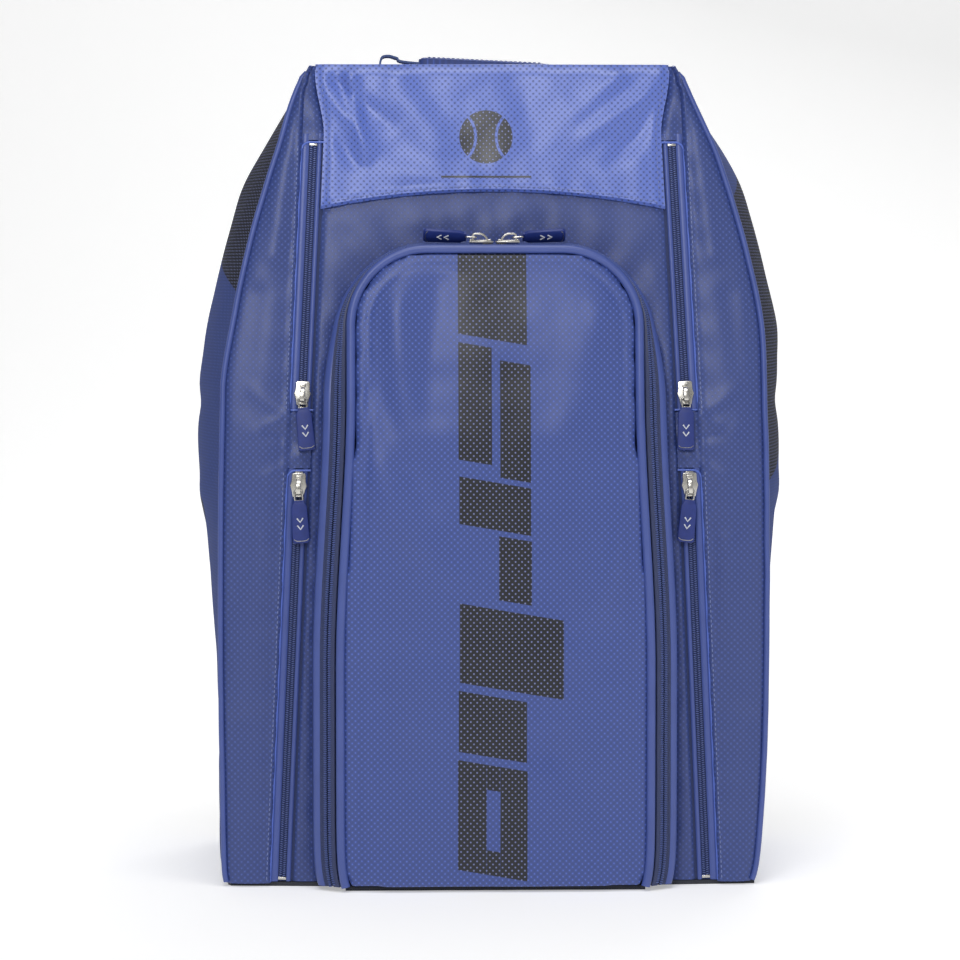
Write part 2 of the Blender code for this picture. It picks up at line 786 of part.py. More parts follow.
# ---- back: pads and shoulder straps ----
def strap_line(z):
    """Depth and sideways place of a shoulder strap's outer face."""
    share = (STRAP_HINGE[1] - z) / (STRAP_HINGE[1] - STRAP_LOW_Z)
    bow = STRAP_BOW * math.sin(math.pi * clamp(share))
    return STRAP_HINGE[0] + STRAP_T / 2 + bow, STRAP_TOP_X + (STRAP_LOW_X - STRAP_TOP_X) * smooth(share)


def make_back_pad(name, side):
    inner, outer = PAD_X
    low, high = PAD_Z
    columns = steps(outer, inner, 4) if side > 0 else steps(inner, outer, 4)

    def place(x, z):
        edge = min(clamp((x - inner) / 0.02), clamp((outer - x) / 0.02))
        edge = min(edge, clamp((z - low) / 0.03), clamp((high - z) / 0.03))
        return Vector((side * x, BACK_Y + GAP + 0.003 + PAD_CROWN * smooth(edge), z))

    sheet(name, columns, steps(low, high, 6), place, "mesh", thickness=PAD_T)


def make_strap(name, side):
    """A padded shoulder strap, its ladder lock, its lower webbing and the tab that anchors it."""
    label = "left" if side < 0 else "right"

    def place(across, z):
        depth, x = strap_line(z)
        half = STRAP_HALF_W * (0.75 + 0.25 * smooth((z - STRAP_LOW_Z) / 0.12))
        return Vector((side * x + across * half, depth, z))

    strap = sheet(name, [1, 0, -1], steps(STRAP_LOW_Z, STRAP_HINGE[1], 12), place, "mesh", thickness=STRAP_T)
    hinge = Vector((side * STRAP_TOP_X, STRAP_HINGE[0], STRAP_HINGE[1]))
    strap_pivot = pivot(name + "_pivot", Matrix.Translation(hinge))
    hang_on(strap, strap_pivot)

    lock_top = Vector((side * STRAP_LOW_X, STRAP_HINGE[0], STRAP_LOW_Z - 0.0022))
    frame = rounded_rectangle(LOCK_HALF_W, -LOCK_LENGTH, 0.0, 0.004)
    outlines = [frame]
    for low, high in ((-0.0065, -0.0035), (-0.0290, -0.0200)):
        half = LOCK_SLOT_HALF_W
        outlines.append([(-half, low), (half, low), (half, high), (-half, high)])
    curve = plate_curve("ladder_lock_" + label, outlines, LOCK_T)
    facing_back = (Vector((-1, 0, 0)), Vector((0, 0, 1)), Vector((0, 1, 0)))
    stand = frame_matrix(*facing_back, lock_top)
    lock = add_object("ladder_lock_" + label, curve, "plastic", stand)
    lock_pivot = pivot("ladder_lock_pivot_" + label, Matrix.Translation(stand.translation), strap_pivot)
    hang_on(lock, lock_pivot)

    start = lock_top - Vector((0, 0, LOCK_LENGTH + 0.0010))
    end = Vector((side * 0.125, BACK_Y + 0.0050, 0.052))
    path = []
    for share in steps(0, 1, 6):
        slack = Vector((0, 0.006 * math.sin(math.pi * share), 0))
        path.append(start.lerp(end, share) + slack)
    sheet(
        "strap_webbing_" + label,
        [STRAP_WEBBING_HALF_W, -STRAP_WEBBING_HALF_W],
        list(range(len(path))),
        lambda x, i: path[i] + Vector((x, 0, 0)),
        "webbing",
        thickness=WEBBING_T,
        offset=0,
    )
    tab = [(-0.016, ANCHOR_HEIGHT), (-0.028, 0.0), (0.028, 0.0), (0.016, ANCHOR_HEIGHT)]
    curve = plate_curve("strap_anchor_" + label, [tab], ANCHOR_T)
    spot = Vector((side * ANCHOR_X, BACK_Y + GAP + ANCHOR_T / 2, ANCHOR_Z))
    add_object("strap_anchor_" + label, curve, "webbing", frame_matrix(*facing_back, spot))


def make_strap_patch():
    low = (-PATCH_HALF_X, BACK_Y + GAP, PATCH_Z[0])
    high = (PATCH_HALF_X, BACK_Y + GAP + 0.004, PATCH_Z[1])
    add_object("strap_patch", box_mesh(low, high), "mesh")


# ---- inside ----
def make_divider(name, side):
    columns = [0, 0.5, 1] if side > 0 else [1, 0.5, 0]

    def place(depth, z):
        near = front_y(z) + 0.006
        return Vector((side * DIVIDER_X, near + (BACK_Y - 0.008 - near) * depth, z))

    sheet(name, columns, [0.0040, 0.30, 0.36, 0.572], place, "lining", thickness=DIVIDER_T)


def make_base_board():
    board = box_mesh((-0.114, FRONT_Y + 0.006, BOARD_Z[0]), (0.114, BACK_Y - 0.008, BOARD_Z[1]))
    add_object("base_board", board, "plastic")


def main():
    clear_scene()
    for label, side in (("left", -1), ("right", 1)):
        make_side_panel(label + "_side_panel", side)
        make_front_side_panel(label + "_front_panel", side)
        make_corner_piping("front_piping_" + label, side, False)
        make_corner_piping("back_piping_" + label, side, True)
        make_side_zip("upper_zip_" + label, side, UPPER_ZIP)
        make_side_zip("lower_zip_" + label, side, LOWER_ZIP)
        make_divider(label + "_divider", side)
        make_back_pad("back_pad_" + label, side)
        make_strap("shoulder_strap_" + label, side)
    make_yoke()
    make_back()
    make_base()
    make_top()
    make_pocket()
    make_flap_panel()
    mesh = slider_mesh()
    make_side_sliders(mesh)
    make_pocket_sliders(mesh)
    make_handle()
    make_strap_patch()
    make_base_board()
    flap_pivot = pivot("flap_pivot", Matrix.Translation(FLAP_HINGE))
    for name in ("flap_panel", "flap_piping", "pocket_zip_flap_tape"):
        hang_on(bpy.data.objects[name], flap_pivot)


main()
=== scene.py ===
"""Upright racket tournament bag in embossed leather: sewn panels with folds and stitches, coil zips,
a padded front flap, sliders with rubber pulls, a carry handle and padded shoulder straps.

Metres, +Z up; the front faces -Y.
"""

import math

import bmesh
import bpy
from mathutils import Matrix, Vector, noise


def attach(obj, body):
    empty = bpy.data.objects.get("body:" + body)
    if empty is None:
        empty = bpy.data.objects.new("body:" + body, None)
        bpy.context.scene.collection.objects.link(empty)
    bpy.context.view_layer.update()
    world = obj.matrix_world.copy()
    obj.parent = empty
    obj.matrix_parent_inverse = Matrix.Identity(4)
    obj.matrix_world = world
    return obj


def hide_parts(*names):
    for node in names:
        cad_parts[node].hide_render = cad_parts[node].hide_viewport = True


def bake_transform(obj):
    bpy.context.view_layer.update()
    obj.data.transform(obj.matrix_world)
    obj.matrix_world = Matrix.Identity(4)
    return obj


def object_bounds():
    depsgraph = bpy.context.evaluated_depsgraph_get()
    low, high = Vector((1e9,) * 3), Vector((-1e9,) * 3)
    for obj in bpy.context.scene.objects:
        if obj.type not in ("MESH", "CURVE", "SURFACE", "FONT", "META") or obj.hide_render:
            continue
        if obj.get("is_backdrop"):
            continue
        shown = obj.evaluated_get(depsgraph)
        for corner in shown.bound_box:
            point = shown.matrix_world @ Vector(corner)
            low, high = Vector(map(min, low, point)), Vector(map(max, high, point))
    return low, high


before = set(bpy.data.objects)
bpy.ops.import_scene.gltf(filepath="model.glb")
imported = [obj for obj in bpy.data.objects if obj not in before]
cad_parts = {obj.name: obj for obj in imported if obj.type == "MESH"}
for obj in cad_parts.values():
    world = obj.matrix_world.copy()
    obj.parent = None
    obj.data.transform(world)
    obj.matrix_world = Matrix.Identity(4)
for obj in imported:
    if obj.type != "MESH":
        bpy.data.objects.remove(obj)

bl_info = {
    "name": "Racket Tournament Bag",
    "version": (1, 0, 0),
    "blender": (4, 5, 0),
    "location": "View3D > Sidebar > Racket Bag",
    "description": "Sews the panels, zips, pulls, handle and straps of an upright racket bag",
    "category": "Object",
}

CAD_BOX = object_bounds()
UP = Vector((0, 0, 1))
FRONT = Vector((0, -1, 0))
BACK = Vector((0, 1, 0))
MM = 0.001

# ---- driving dimensions, the same as the frame's ----
TOP_Z = 0.5945
BASE_Z = 0.0035
FRONT_Y = -0.130
BACK_Y = 0.130
LEAN = 0.176
CREASE_Z = 0.325
CREASE_SOFTNESS = 0.025
MIDDLE_HALF = 0.197
SHOULDER_Z = 0.360
SHOULDER_RISE = 0.216
SHOULDER_DRAW = 0.052
SHOULDER_POWER = 1.65
CORNER_R = 0.012
CORNER_X = 0.1295
SIDE_BULGE = 0.020
BACK_NARROWER = 0.004
CLOTH = 0.0018
GAP = 0.0004
PIPING_R = 0.0021
ZIP_HALF_AT_BASE = 0.1550
ZIP_SLANT = 0.0440
ZIP_STRIP_HALF = 0.0080
LOWER_ZIP = (BASE_Z, 0.3035)
UPPER_ZIP = (0.346, 0.542)
LOWER_SLIDER_Z = 0.2925
UPPER_SLIDER_Z = 0.3585
YOKE_FLARE = 0.0085
YOKE_SEAM_Z = 0.506
YOKE_SEAM_DROP = 0.012
YOKE_TOP_Z = 0.5915
YOKE_LIP_Z = 0.5990
SIDE_TOP_Z = 0.583
OUTER_TOP_Z = 0.5925
HEM = 0.0010  # how far a panel reaches below the base seam
WEBBING_HALF_W = 0.0125
WEBBING_T = 0.0015
FLAP_TOP = 0.4635
FLAP_CORNER_R = 0.055
FLAP_HALF = 0.104
FLAP_SPREAD = 0.008
FLAP_PROUD = 0.032
FLAP_PIPING_R = 0.0033
FLAP_CROWN = 0.008
ZIP_OFFSET = 0.0100
ZIP_RAISE = 0.0025
FIXED_REACH = 0.0130
SIDE_TILT = math.radians(41)
TOP_TILT = math.radians(90)
TILT_FULL_Z = 0.462
TILT_LOW_Z = 0.350
TOP_DIP = 0.006
HANDLE_Y = 0.005
HANDLE_LEFT_X = -0.0815
HANDLE_RIGHT_X = 0.0735
GRIP_X = (-0.0525, 0.0480)
GRIP_Z = (0.6035, 0.5985)
STRAP_HINGE = (0.146, 0.558)
STRAP_LOW_Z = 0.205
STRAP_HALF_W = 0.0275
STRAP_TOP_X = 0.048
STRAP_LOW_X = 0.088
STRAP_BOW = 0.014
STRAP_T = 0.009


# ---- sizes and colours a user may change ----
def colour_property(name, description, default):
    return bpy.props.FloatVectorProperty(
        name=name, description=description, default=default, size=3, min=0.0, max=1.0, subtype="COLOR"
    )


def length_property(name, description, default):
    return bpy.props.FloatProperty(
        name=name, description=description, default=default, min=0.0, precision=5, unit="LENGTH"
    )


class RacketBagSizes(bpy.types.PropertyGroup):
    emboss_pitch: length_property("Emboss pitch", "Half the distance between dots in a row", 0.0023)
    stitch_pitch: length_property("Stitch pitch", "Distance from one stitch to the next", 0.0036)
    stitch_length: length_property("Stitch length", "Length of one stitch", 0.0025)
    tooth_pitch: length_property("Tooth pitch", "Distance from one zip tooth to the next", 0.0016)
    flap_puff: length_property("Flap puff", "How far the padded flap may swell", 0.0045)
    pad_puff: length_property("Pad puff", "How far the back pads may swell", 0.004)
    camera_distance: length_property("Camera distance", "From the camera to the front of the bag", 3.0)


class RacketBagColours(bpy.types.PropertyGroup):
    leather: colour_property("Leather", "Embossed leather of the shell", (0.073, 0.124, 0.440))
    print_dark: colour_property("Print", "Dark printed blocks", (0.006, 0.007, 0.012))
    print_speck: colour_property("Print specks", "Embossed dots in the print", (0.190, 0.225, 0.460))
    piping: colour_property("Piping", "Piping and bindings", (0.062, 0.100, 0.350))
    tape: colour_property("Tape", "Zip tapes", (0.026, 0.044, 0.150))
    coil: colour_property("Coil", "Zip coils", (0.085, 0.125, 0.340))
    thread: colour_property("Thread", "Stitches", (0.190, 0.240, 0.500))
    nickel: colour_property("Nickel", "Sliders and links", (0.64, 0.62, 0.57))
    rubber: colour_property("Rubber", "Pull tabs", (0.016, 0.034, 0.200))
    mark: colour_property("Mark", "Raised mark on the pull tabs", (0.82, 0.84, 0.88))
    webbing: colour_property("Webbing", "Handle and strap webbing", (0.120, 0.180, 0.400))
    padding: colour_property("Mesh", "Spacer mesh of the pads and straps", (0.020, 0.023, 0.034))
    lining: colour_property("Lining", "Lining and back cloth", (0.026, 0.029, 0.040))
    plastic: colour_property("Plastic", "Moulded ladder locks", (0.014, 0.015, 0.020))
    backdrop: colour_property("Backdrop", "Floor and sweep behind the bag", (0.86, 0.86, 0.86))


def sizes():
    return bpy.context.scene.racket_bag_sizes


def colours():
    return bpy.context.scene.racket_bag_colours


# ---- the shape of the bag ----
def clamp(value):
    return min(1.0, max(0.0, value))


def smooth(value):
    value = clamp(value)
    return value * value * (3 - 2 * value)


def steps(start, end, count):
    return [start + (end - start) * i / count for i in range(count + 1)]


def front_y(z):
    rise = z - CREASE_Z
    return FRONT_Y + LEAN * (rise + math.hypot(rise, CREASE_SOFTNESS)) / 2


def body_half(z):
    corner_z = TOP_Z - CORNER_R
    if z > corner_z:
        return CORNER_X + math.sqrt(max(0.0, CORNER_R**2 - (z - corner_z) ** 2))
    half = MIDDLE_HALF + 0.002 * math.sin(math.pi * clamp(z / SHOULDER_Z))
    half -= 0.0038 * math.exp(-z / 0.06) + 0.003 * math.exp(-z / 0.006)
    if z > SHOULDER_Z:
        half -= SHOULDER_DRAW * ((z - SHOULDER_Z) / SHOULDER_RISE) ** SHOULDER_POWER
    return half


def sway(z):
    """How far the bag leans to its right: the foot to the left, the shoulders to the right."""
    shoulders = smooth((z - 0.36) / 0.06) * (1 - smooth((z - 0.53) / 0.05))
    return 0.0030 * shoulders - 0.0036 * math.exp(-z / 0.05)


def bulge(z):
    low = 0.35 + 0.65 * smooth((z - 0.15) / 0.18)
    return SIDE_BULGE * low * (1 - smooth((z - 0.50) / 0.105))


def zip_x(z):
    return ZIP_HALF_AT_BASE - ZIP_SLANT * z


def centre_edge(z):
    return zip_x(z) - ZIP_STRIP_HALF - GAP + YOKE_FLARE * smooth((z - 0.545) / 0.05)


def yoke_seam_z(x):
    return YOKE_SEAM_Z - YOKE_SEAM_DROP * (x / 0.122) ** 2


def flap_half(z):
    wide = smooth((0.36 - z) / 0.20)
    return FLAP_HALF + FLAP_SPREAD * wide - 0.005 * math.exp(-z / 0.012)


def folds(x, z, ridges):
    """Height of soft folds at a point; each ridge fades towards its second end."""
    height = 0.0
    for x0, z0, x1, z1, width, rise in ridges:
        run_x, run_z = x1 - x0, z1 - z0
        share = clamp(((x - x0) * run_x + (z - z0) * run_z) / (run_x**2 + run_z**2))
        away = (x - x0 - run_x * share) ** 2 + (z - z0 - run_z * share) ** 2
        height += rise * (1 - 0.6 * share) * math.exp(-away / width**2)
    return height


def waviness(x, y, z, scale):
    """Smooth unevenness from -1 to 1; scale is the size of one wave."""
    return noise.noise(Vector((x, y, z)) / scale)


# ---- mesh helpers ----
def settle(obj):
    """Puts an object's modifiers into its mesh."""
    bpy.context.view_layer.update()
    graph = bpy.context.evaluated_depsgraph_get()
    mesh = bpy.data.meshes.new_from_object(obj.evaluated_get(graph))
    obj.modifiers.clear()
    obj.data = mesh


def shown(name, mesh, material):
    obj = bpy.data.objects.new(name, mesh)
    bpy.context.scene.collection.objects.link(obj)
    if mesh.materials:
        mesh.materials.clear()
    for one in material if isinstance(material, list) else [material]:
        mesh.materials.append(one)
    return obj


def dress(obj, body, slot, *nodes, angle=40.0):
    """Shades a piece, hangs it on its body and hides the parts of model.glb that it stands for."""
    obj.data.shade_smooth()
    obj.data.set_sharp_from_angle(angle=math.radians(angle))
    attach(obj, body)
    if nodes:
        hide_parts(*nodes)
    return obj


def panel(name, across, up, place, material, wall=CLOTH, rounding=0.0, kept=None, offset=-1.0):
    """A cloth panel: a grid set in space by place(u, v), both from 0 to 1, with a wall."""
    bm = bmesh.new()
    bmesh.ops.create_grid(bm, x_segments=across, y_segments=up, size=1.0)
    if kept:
        open_faces = []
        for face in bm.faces:
            middle = face.calc_center_median()
            if not kept((middle.x + 1) / 2, (middle.y + 1) / 2):
                open_faces.append(face)
        bmesh.ops.delete(bm, geom=open_faces, context="FACES")
    for vert in bm.verts:
        vert.co = place((vert.co.x + 1) / 2, (vert.co.y + 1) / 2)
    mesh = bpy.data.meshes.new(name)
    bm.to_mesh(mesh)
    area = sum(face.calc_area() for face in bm.faces)
    bm.free()
    obj = shown(name, mesh, material)
    obj["cut_area"] = area
    solidify = obj.modifiers.new("wall", "SOLIDIFY")
    solidify.thickness = wall
    solidify.offset = offset
    if rounding:
        bevel = obj.modifiers.new("rounding", "BEVEL")
        bevel.width = rounding
        bevel.segments = 3
        bevel.limit_method = "ANGLE"
        bevel.angle_limit = math.radians(50)
    settle(obj)
    return obj


def curve_mesh(curve, matrix):
    """The closed mesh of a curve, put in its place."""
    obj = bpy.data.objects.new("curve", curve)
    bpy.context.scene.collection.objects.link(obj)
    bpy.context.view_layer.update()
    graph = bpy.context.evaluated_depsgraph_get()
    mesh = bpy.data.meshes.new_from_object(obj.evaluated_get(graph))
    bpy.data.objects.remove(obj, do_unlink=True)
    bm = bmesh.new()
    bm.from_mesh(mesh)
    bmesh.ops.remove_doubles(bm, verts=bm.verts, dist=1e-6)
    bmesh.ops.recalc_face_normals(bm, faces=bm.faces)
    bmesh.ops.transform(bm, matrix=matrix, verts=bm.verts)
    bm.to_mesh(mesh)
    bm.free()
    return mesh


def tube_mesh(points, radius, sides=3, closed=False, matrix=Matrix()):
    curve = bpy.data.curves.new("tube", "CURVE")
    curve.dimensions = "3D"
    curve.bevel_depth = radius
    curve.bevel_resolution = sides
    curve.use_fill_caps = not closed
    spline = curve.splines.new("POLY")
    spline.points.add(len(points) - 1)
    for point, position in zip(spline.points, points):
        point.co = (*position, 1.0)
    spline.use_cyclic_u = closed
    return curve_mesh(curve, matrix)


def plate_mesh(outlines, thickness, edge, matrix=Matrix()):
    """A flat plate with holes and rounded edges, in its own xy plane."""
    curve = bpy.data.curves.new("plate", "CURVE")
    curve.dimensions = "2D"
    curve.fill_mode = "BOTH"
    curve.extrude = thickness / 2 - edge
    curve.bevel_depth = edge
    curve.bevel_resolution = 2
    curve.offset = -edge
    for outline in outlines:
        spline = curve.splines.new("POLY")
        spline.points.add(len(outline) - 1)
        for point, (x, y) in zip(spline.points, outline):
            point.co = (x, y, 0.0, 1.0)
        spline.use_cyclic_u = True
    return curve_mesh(curve, matrix)


def rounded_rectangle(half_w, low, high, radius, corner_steps=4):
    outline = []
    centres = (
        (half_w - radius, low + radius, -90),
        (half_w - radius, high - radius, 0),
        (-half_w + radius, high - radius, 90),
        (-half_w + radius, low + radius, 180),
    )
    for x, y, start in centres:
        for angle in steps(start, start + 90, corner_steps):
            turn = math.radians(angle)
            outline.append((x + radius * math.cos(turn), y + radius * math.sin(turn)))
    return outline


def box_mesh(low, high, rounding, cuts=0):
    """A block with rounded edges."""
    bm = bmesh.new()
    bmesh.ops.create_cube(bm, size=1.0)
    size = Vector(high) - Vector(low)
    bmesh.ops.scale(bm, vec=size, verts=bm.verts)
    bmesh.ops.translate(bm, vec=Vector(low) + size / 2, verts=bm.verts)
    if cuts:
        bmesh.ops.subdivide_edges(bm, edges=bm.edges, cuts=cuts, use_grid_fill=True)
    sharp = [edge for edge in bm.edges if edge.calc_face_angle(0.0) > 0.5]
    bmesh.ops.bevel(
        bm, geom=sharp, offset=rounding, segments=4, profile=0.5, affect="EDGES", material=-1
    )
    mesh = bpy.data.meshes.new("box")
    bm.to_mesh(mesh)
    bm.free()
    return mesh


def joined(*parts):
    """One mesh of several; each part is a mesh, or a mesh and its material's number."""
    bm = bmesh.new()
    for part in parts:
        mesh, number = part if isinstance(part, tuple) else (part, 0)
        before = len(bm.faces)
        bm.from_mesh(mesh)
        bm.faces.ensure_lookup_table()
        for face in bm.faces[before:]:
            face.material_index = number
        bpy.data.meshes.remove(mesh)
    mesh = bpy.data.meshes.new("joined")
    bm.to_mesh(mesh)
    bm.free()
    return mesh


def bead(half_across, half_along, half_up):
    bm = bmesh.new()
    bmesh.ops.create_uvsphere(bm, u_segments=6, v_segments=4, radius=1.0)
    bmesh.ops.scale(bm, vec=(half_across, half_along, half_up), verts=bm.verts)
    mesh = bpy.data.meshes.new("bead")
    bm.to_mesh(mesh)
    bm.free()
    return mesh


def copies(shape, places):
    """One mesh of a small shape set at many places, gathered in batches to stay quick."""
    batches = []
    for first in range(0, len(places), 24):
        bm = bmesh.new()
        for place in places[first : first + 24]:
            before = len(bm.verts)
            bm.from_mesh(shape)
            bm.verts.ensure_lookup_table()
            bmesh.ops.transform(bm, matrix=place, verts=bm.verts[before:])
        mesh = bpy.data.meshes.new("batch")
        bm.to_mesh(mesh)
        bm.free()
        batches.append(mesh)
    bpy.data.meshes.remove(shape)
    return joined(*batches)


def frame_matrix(across, along, outward, origin):
    turn = Matrix((across, along, outward)).transposed().to_4x4()
    return Matrix.Translation(origin) @ turn


def smooth_path(points, count):
    """A smooth curve through a few points, with count steps between each two."""
    ends = [2 * points[0] - points[1], *points, 2 * points[-1] - points[-2]]
    path = []
    for a, b, c, d in zip(ends, ends[1:], ends[2:], ends[3:]):
        for share in steps(0, 1, count)[:-1]:
            cubic = (3 * b - a - 3 * c + d) * share**3
            square = (2 * a - 5 * b + 4 * c - d) * share**2
            path.append((cubic + square + (c - a) * share + 2 * b) / 2)
    return path + [points[-1]]


class Track:
    """A seam or a zip as closely spaced points, with the outward direction at each."""

    def __init__(self, points, outward):
        self.points = points
        self.outward = outward if isinstance(outward, list) else [outward] * len(points)
        self.marks = [0.0]
        for a, b in zip(points, points[1:]):
            self.marks.append(self.marks[-1] + (b - a).length)
        self.length = self.marks[-1]

    def at(self, distance, lift=0.0, reach=0.0):
        """Placing at a distance along: x across, y along and z outward."""
        index = 0
        while index < len(self.marks) - 2 and self.marks[index + 1] < distance:
            index += 1
        span = self.marks[index + 1] - self.marks[index]
        share = (distance - self.marks[index]) / span
        point = self.points[index].lerp(self.points[index + 1], share)
        along = (self.points[index + 1] - self.points[index]).normalized()
        outward = self.outward[index].lerp(self.outward[index + 1], share)
        outward = (outward - along * outward.dot(along)).normalized()
        across = along.cross(outward)
        return frame_matrix(across, along, outward, point + outward * lift + across * reach)

    def places(self, pitch, lift=0.0, reach=0.0, start=0.0, end=None, turn=0.0):
        end = self.length if end is None else end
        count = max(1, int((end - start) / pitch))
        spin = Matrix.Rotation(turn, 4, "Z")
        found = []
        for index in range(count):
            found.append(self.at(start + pitch * (index + 0.5), lift, reach) @ spin)
        return found


def stitches(track, lift=0.0002, reach=0.0, turn=0.0):
    shape = bead(0.00042, sizes().stitch_length / 2, 0.00034)
    return copies(shape, track.places(sizes().stitch_pitch, lift, reach, turn=turn))


def add_stitches(name, body, slot, *tracks):
    """Rows of stitches as one piece."""
    mesh = joined(*[stitches(track) for track in tracks])
    return dress(shown(name, mesh, thread_finish()), body, slot)


# ---- finishes ----
class Finish:
    """Builds one Principled material on Object coordinates."""

    def __init__(self, name, colour, roughness, metallic=0.0, **sockets):
        self.material = bpy.data.materials.new(name)
        self.material.use_nodes = True
        self.tree = self.material.node_tree
        self.shader = self.tree.nodes["Principled BSDF"]
        self.shader.inputs["Base Color"].default_value = (*colour, 1.0)
        self.shader.inputs["Roughness"].default_value = roughness
        self.shader.inputs["Metallic"].default_value = metallic
        for socket, value in sockets.items():
            self.shader.inputs[socket.replace("_", " ")].default_value = value
        self.coords = self.tree.nodes.new("ShaderNodeTexCoord").outputs["Object"]
        split = self.tree.nodes.new("ShaderNodeSeparateXYZ")
        self.tree.links.new(self.coords, split.inputs[0])
        self.axes = dict(zip("xyz", split.outputs))

    def feed(self, socket, value):
        if isinstance(value, bpy.types.NodeSocket):
            self.tree.links.new(value, socket)
        elif isinstance(value, (tuple, list)) or hasattr(value, "r"):
            socket.default_value = (*value, 1.0)[:4]
        else:
            socket.default_value = value

    def maths(self, operation, *values):
        node = self.tree.nodes.new("ShaderNodeMath")
        node.operation = operation
        for socket, value in zip(node.inputs, values):
            self.feed(socket, value)
        return node.outputs[0]

    def plus(self, a, b):
        return self.maths("ADD", a, b)

    def times(self, a, b):
        return self.maths("MULTIPLY", a, b)

    def step(self, value, low, high):
        """0 below low, 1 above high, smooth between."""
        node = self.tree.nodes.new("ShaderNodeMapRange")
        node.interpolation_type = "SMOOTHSTEP"
        self.feed(node.inputs["Value"], value)
        node.inputs["From Min"].default_value = low
        node.inputs["From Max"].default_value = high
        return node.outputs[0]

    def band(self, value, low, high, edge=0.0003):
        """1 where the value lies between low and high."""
        rising = self.step(value, low - edge, low + edge)
        falling = self.step(value, high - edge, high + edge)
        return self.maths("SUBTRACT", rising, falling)

    def mix(self, share, a, b):
        node = self.tree.nodes.new("ShaderNodeMix")
        node.data_type = "RGBA"
        self.feed(node.inputs[0], share)
        self.feed(node.inputs[6], a)
        self.feed(node.inputs[7], b)
        return node.outputs[2]

    def unevenness(self, scale, detail=2.0, stretch=(1, 1, 1)):
        """Noise from 0 to 1 with that many waves to a metre."""
        place = self.coords
        if stretch != (1, 1, 1):
            mapping = self.tree.nodes.new("ShaderNodeMapping")
            mapping.inputs["Scale"].default_value = stretch
            self.tree.links.new(place, mapping.inputs["Vector"])
            place = mapping.outputs[0]
        node = self.tree.nodes.new("ShaderNodeTexNoise")
        node.inputs["Scale"].default_value = scale
        node.inputs["Detail"].default_value = detail
        self.tree.links.new(place, node.inputs["Vector"])
        return node.outputs[0]

    def waves(self, axis, pitch):
        """Cosine along an axis, from -1 to 1."""
        return self.maths("COSINE", self.times(self.axes[axis], 2 * math.pi / pitch))

    def emboss(self, across, along, pitch, low, high):
        """Dots on a diamond lattice, 1 at each dot's middle."""
        crossed = self.times(self.waves(across, 2 * pitch), self.waves(along, 2 * pitch))
        return self.step(crossed, low, high)

    def relief(self, millimetres):
        """Bump from a height in millimetres."""
        node = self.tree.nodes.new("ShaderNodeBump")
        node.inputs["Distance"].default_value = MM
        self.feed(node.inputs["Height"], millimetres)
        self.tree.links.new(node.outputs[0], self.shader.inputs["Normal"])

    def colour(self, value):
        self.feed(self.shader.inputs["Base Color"], value)

    def roughness(self, value):
        self.feed(self.shader.inputs["Roughness"], value)


def tinted(colour, factor):
    return tuple(min(1.0, channel * factor) for channel in colour)


MADE = {}


def finish_once(name):
    """Keeps each finish, so that it is built only once."""

    def wrap(build):
        def make():
            if name not in MADE:
                MADE[name] = build(name)
            return MADE[name]

        return make

    return wrap


def embossed_leather(name, across, along, printed=None, contrast=1.0, tone=1.0, gloss=1.0, painted_dot_light=1.45):
    """Coated leather with small embossed dots and painted light on them; printed gives where the dark print
    lies.
    """
    if name in MADE:
        return MADE[name]
    # tone below 1 gives a darker copy of the same shell leather; the side panels, the front panels and the
    # yoke use such copies as painted shade.
    blue = tinted(colours().leather, tone)
    made = Finish(
        name, blue, 0.4, Coat_Weight=0.16 * gloss, Coat_Roughness=0.32, Specular_IOR_Level=0.5 * gloss
    )
    dots = made.emboss(across, along, sizes().emboss_pitch, 0.42, 0.90)
    # cells is 1 over most of the lattice and 0 midway between dots; with it the leather takes the tint
    # opposite the dots' tint: painted shade round lit dots, painted light round shaded pits.
    cells = made.emboss(across, along, sizes().emboss_pitch, -0.9, 0.5)
    patches = made.unevenness(14, 3)
    grain = made.unevenness(900, 3)
    creases = made.unevenness(160, 4, (1, 1, 0.45))
    shade = made.mix(patches, tinted(blue, 0.88), tinted(blue, 1.10))
    shade = made.mix(made.times(grain, 0.35), shade, tinted(blue, 0.80))
    # Painted light on the embossing: a dots' tint above 1 paints a highlight on each dot, below 1 paints
    # shade in each pit, and the lattice round them takes the opposite tint.
    shade = made.mix(made.times(cells, 0.24 * contrast), tinted(blue, 2.0 - painted_dot_light), shade)
    shade = made.mix(made.times(dots, min(1.0, 0.58 * contrast)), shade, tinted(blue, painted_dot_light))
    if printed:
        mask = printed(made)
        ink = made.mix(grain, tinted(colours().print_dark, 0.8), tinted(colours().print_dark, 1.3))
        ink = made.mix(dots, ink, tuple(colours().print_speck))
        shade = made.mix(mask, shade, ink)
    made.colour(shade)
    dullness = 0.36 + 0.26 * (1 - min(1.0, gloss))
    made.roughness(made.plus(dullness, made.plus(made.times(patches, 0.10), made.times(grain, 0.10))))
    pits = made.times(dots, -0.20 * contrast)
    fine = made.plus(made.times(grain, 0.035), made.times(creases, 0.16))
    made.relief(made.plus(pits, fine))
    MADE[name] = made.material
    return made.material


def slanted_blocks(made, across, along, slope, blocks):
    """Printed blocks with slanted ends: each is (left, right, low, high)."""
    level = made.plus(made.axes[along], made.times(made.axes[across], slope))
    total = None
    for left, right, low, high in blocks:
        one = made.times(made.band(made.axes[across], left, right), made.band(level, low, high))
        total = one if total is None else made.maths("MAXIMUM", total, one)
    return total


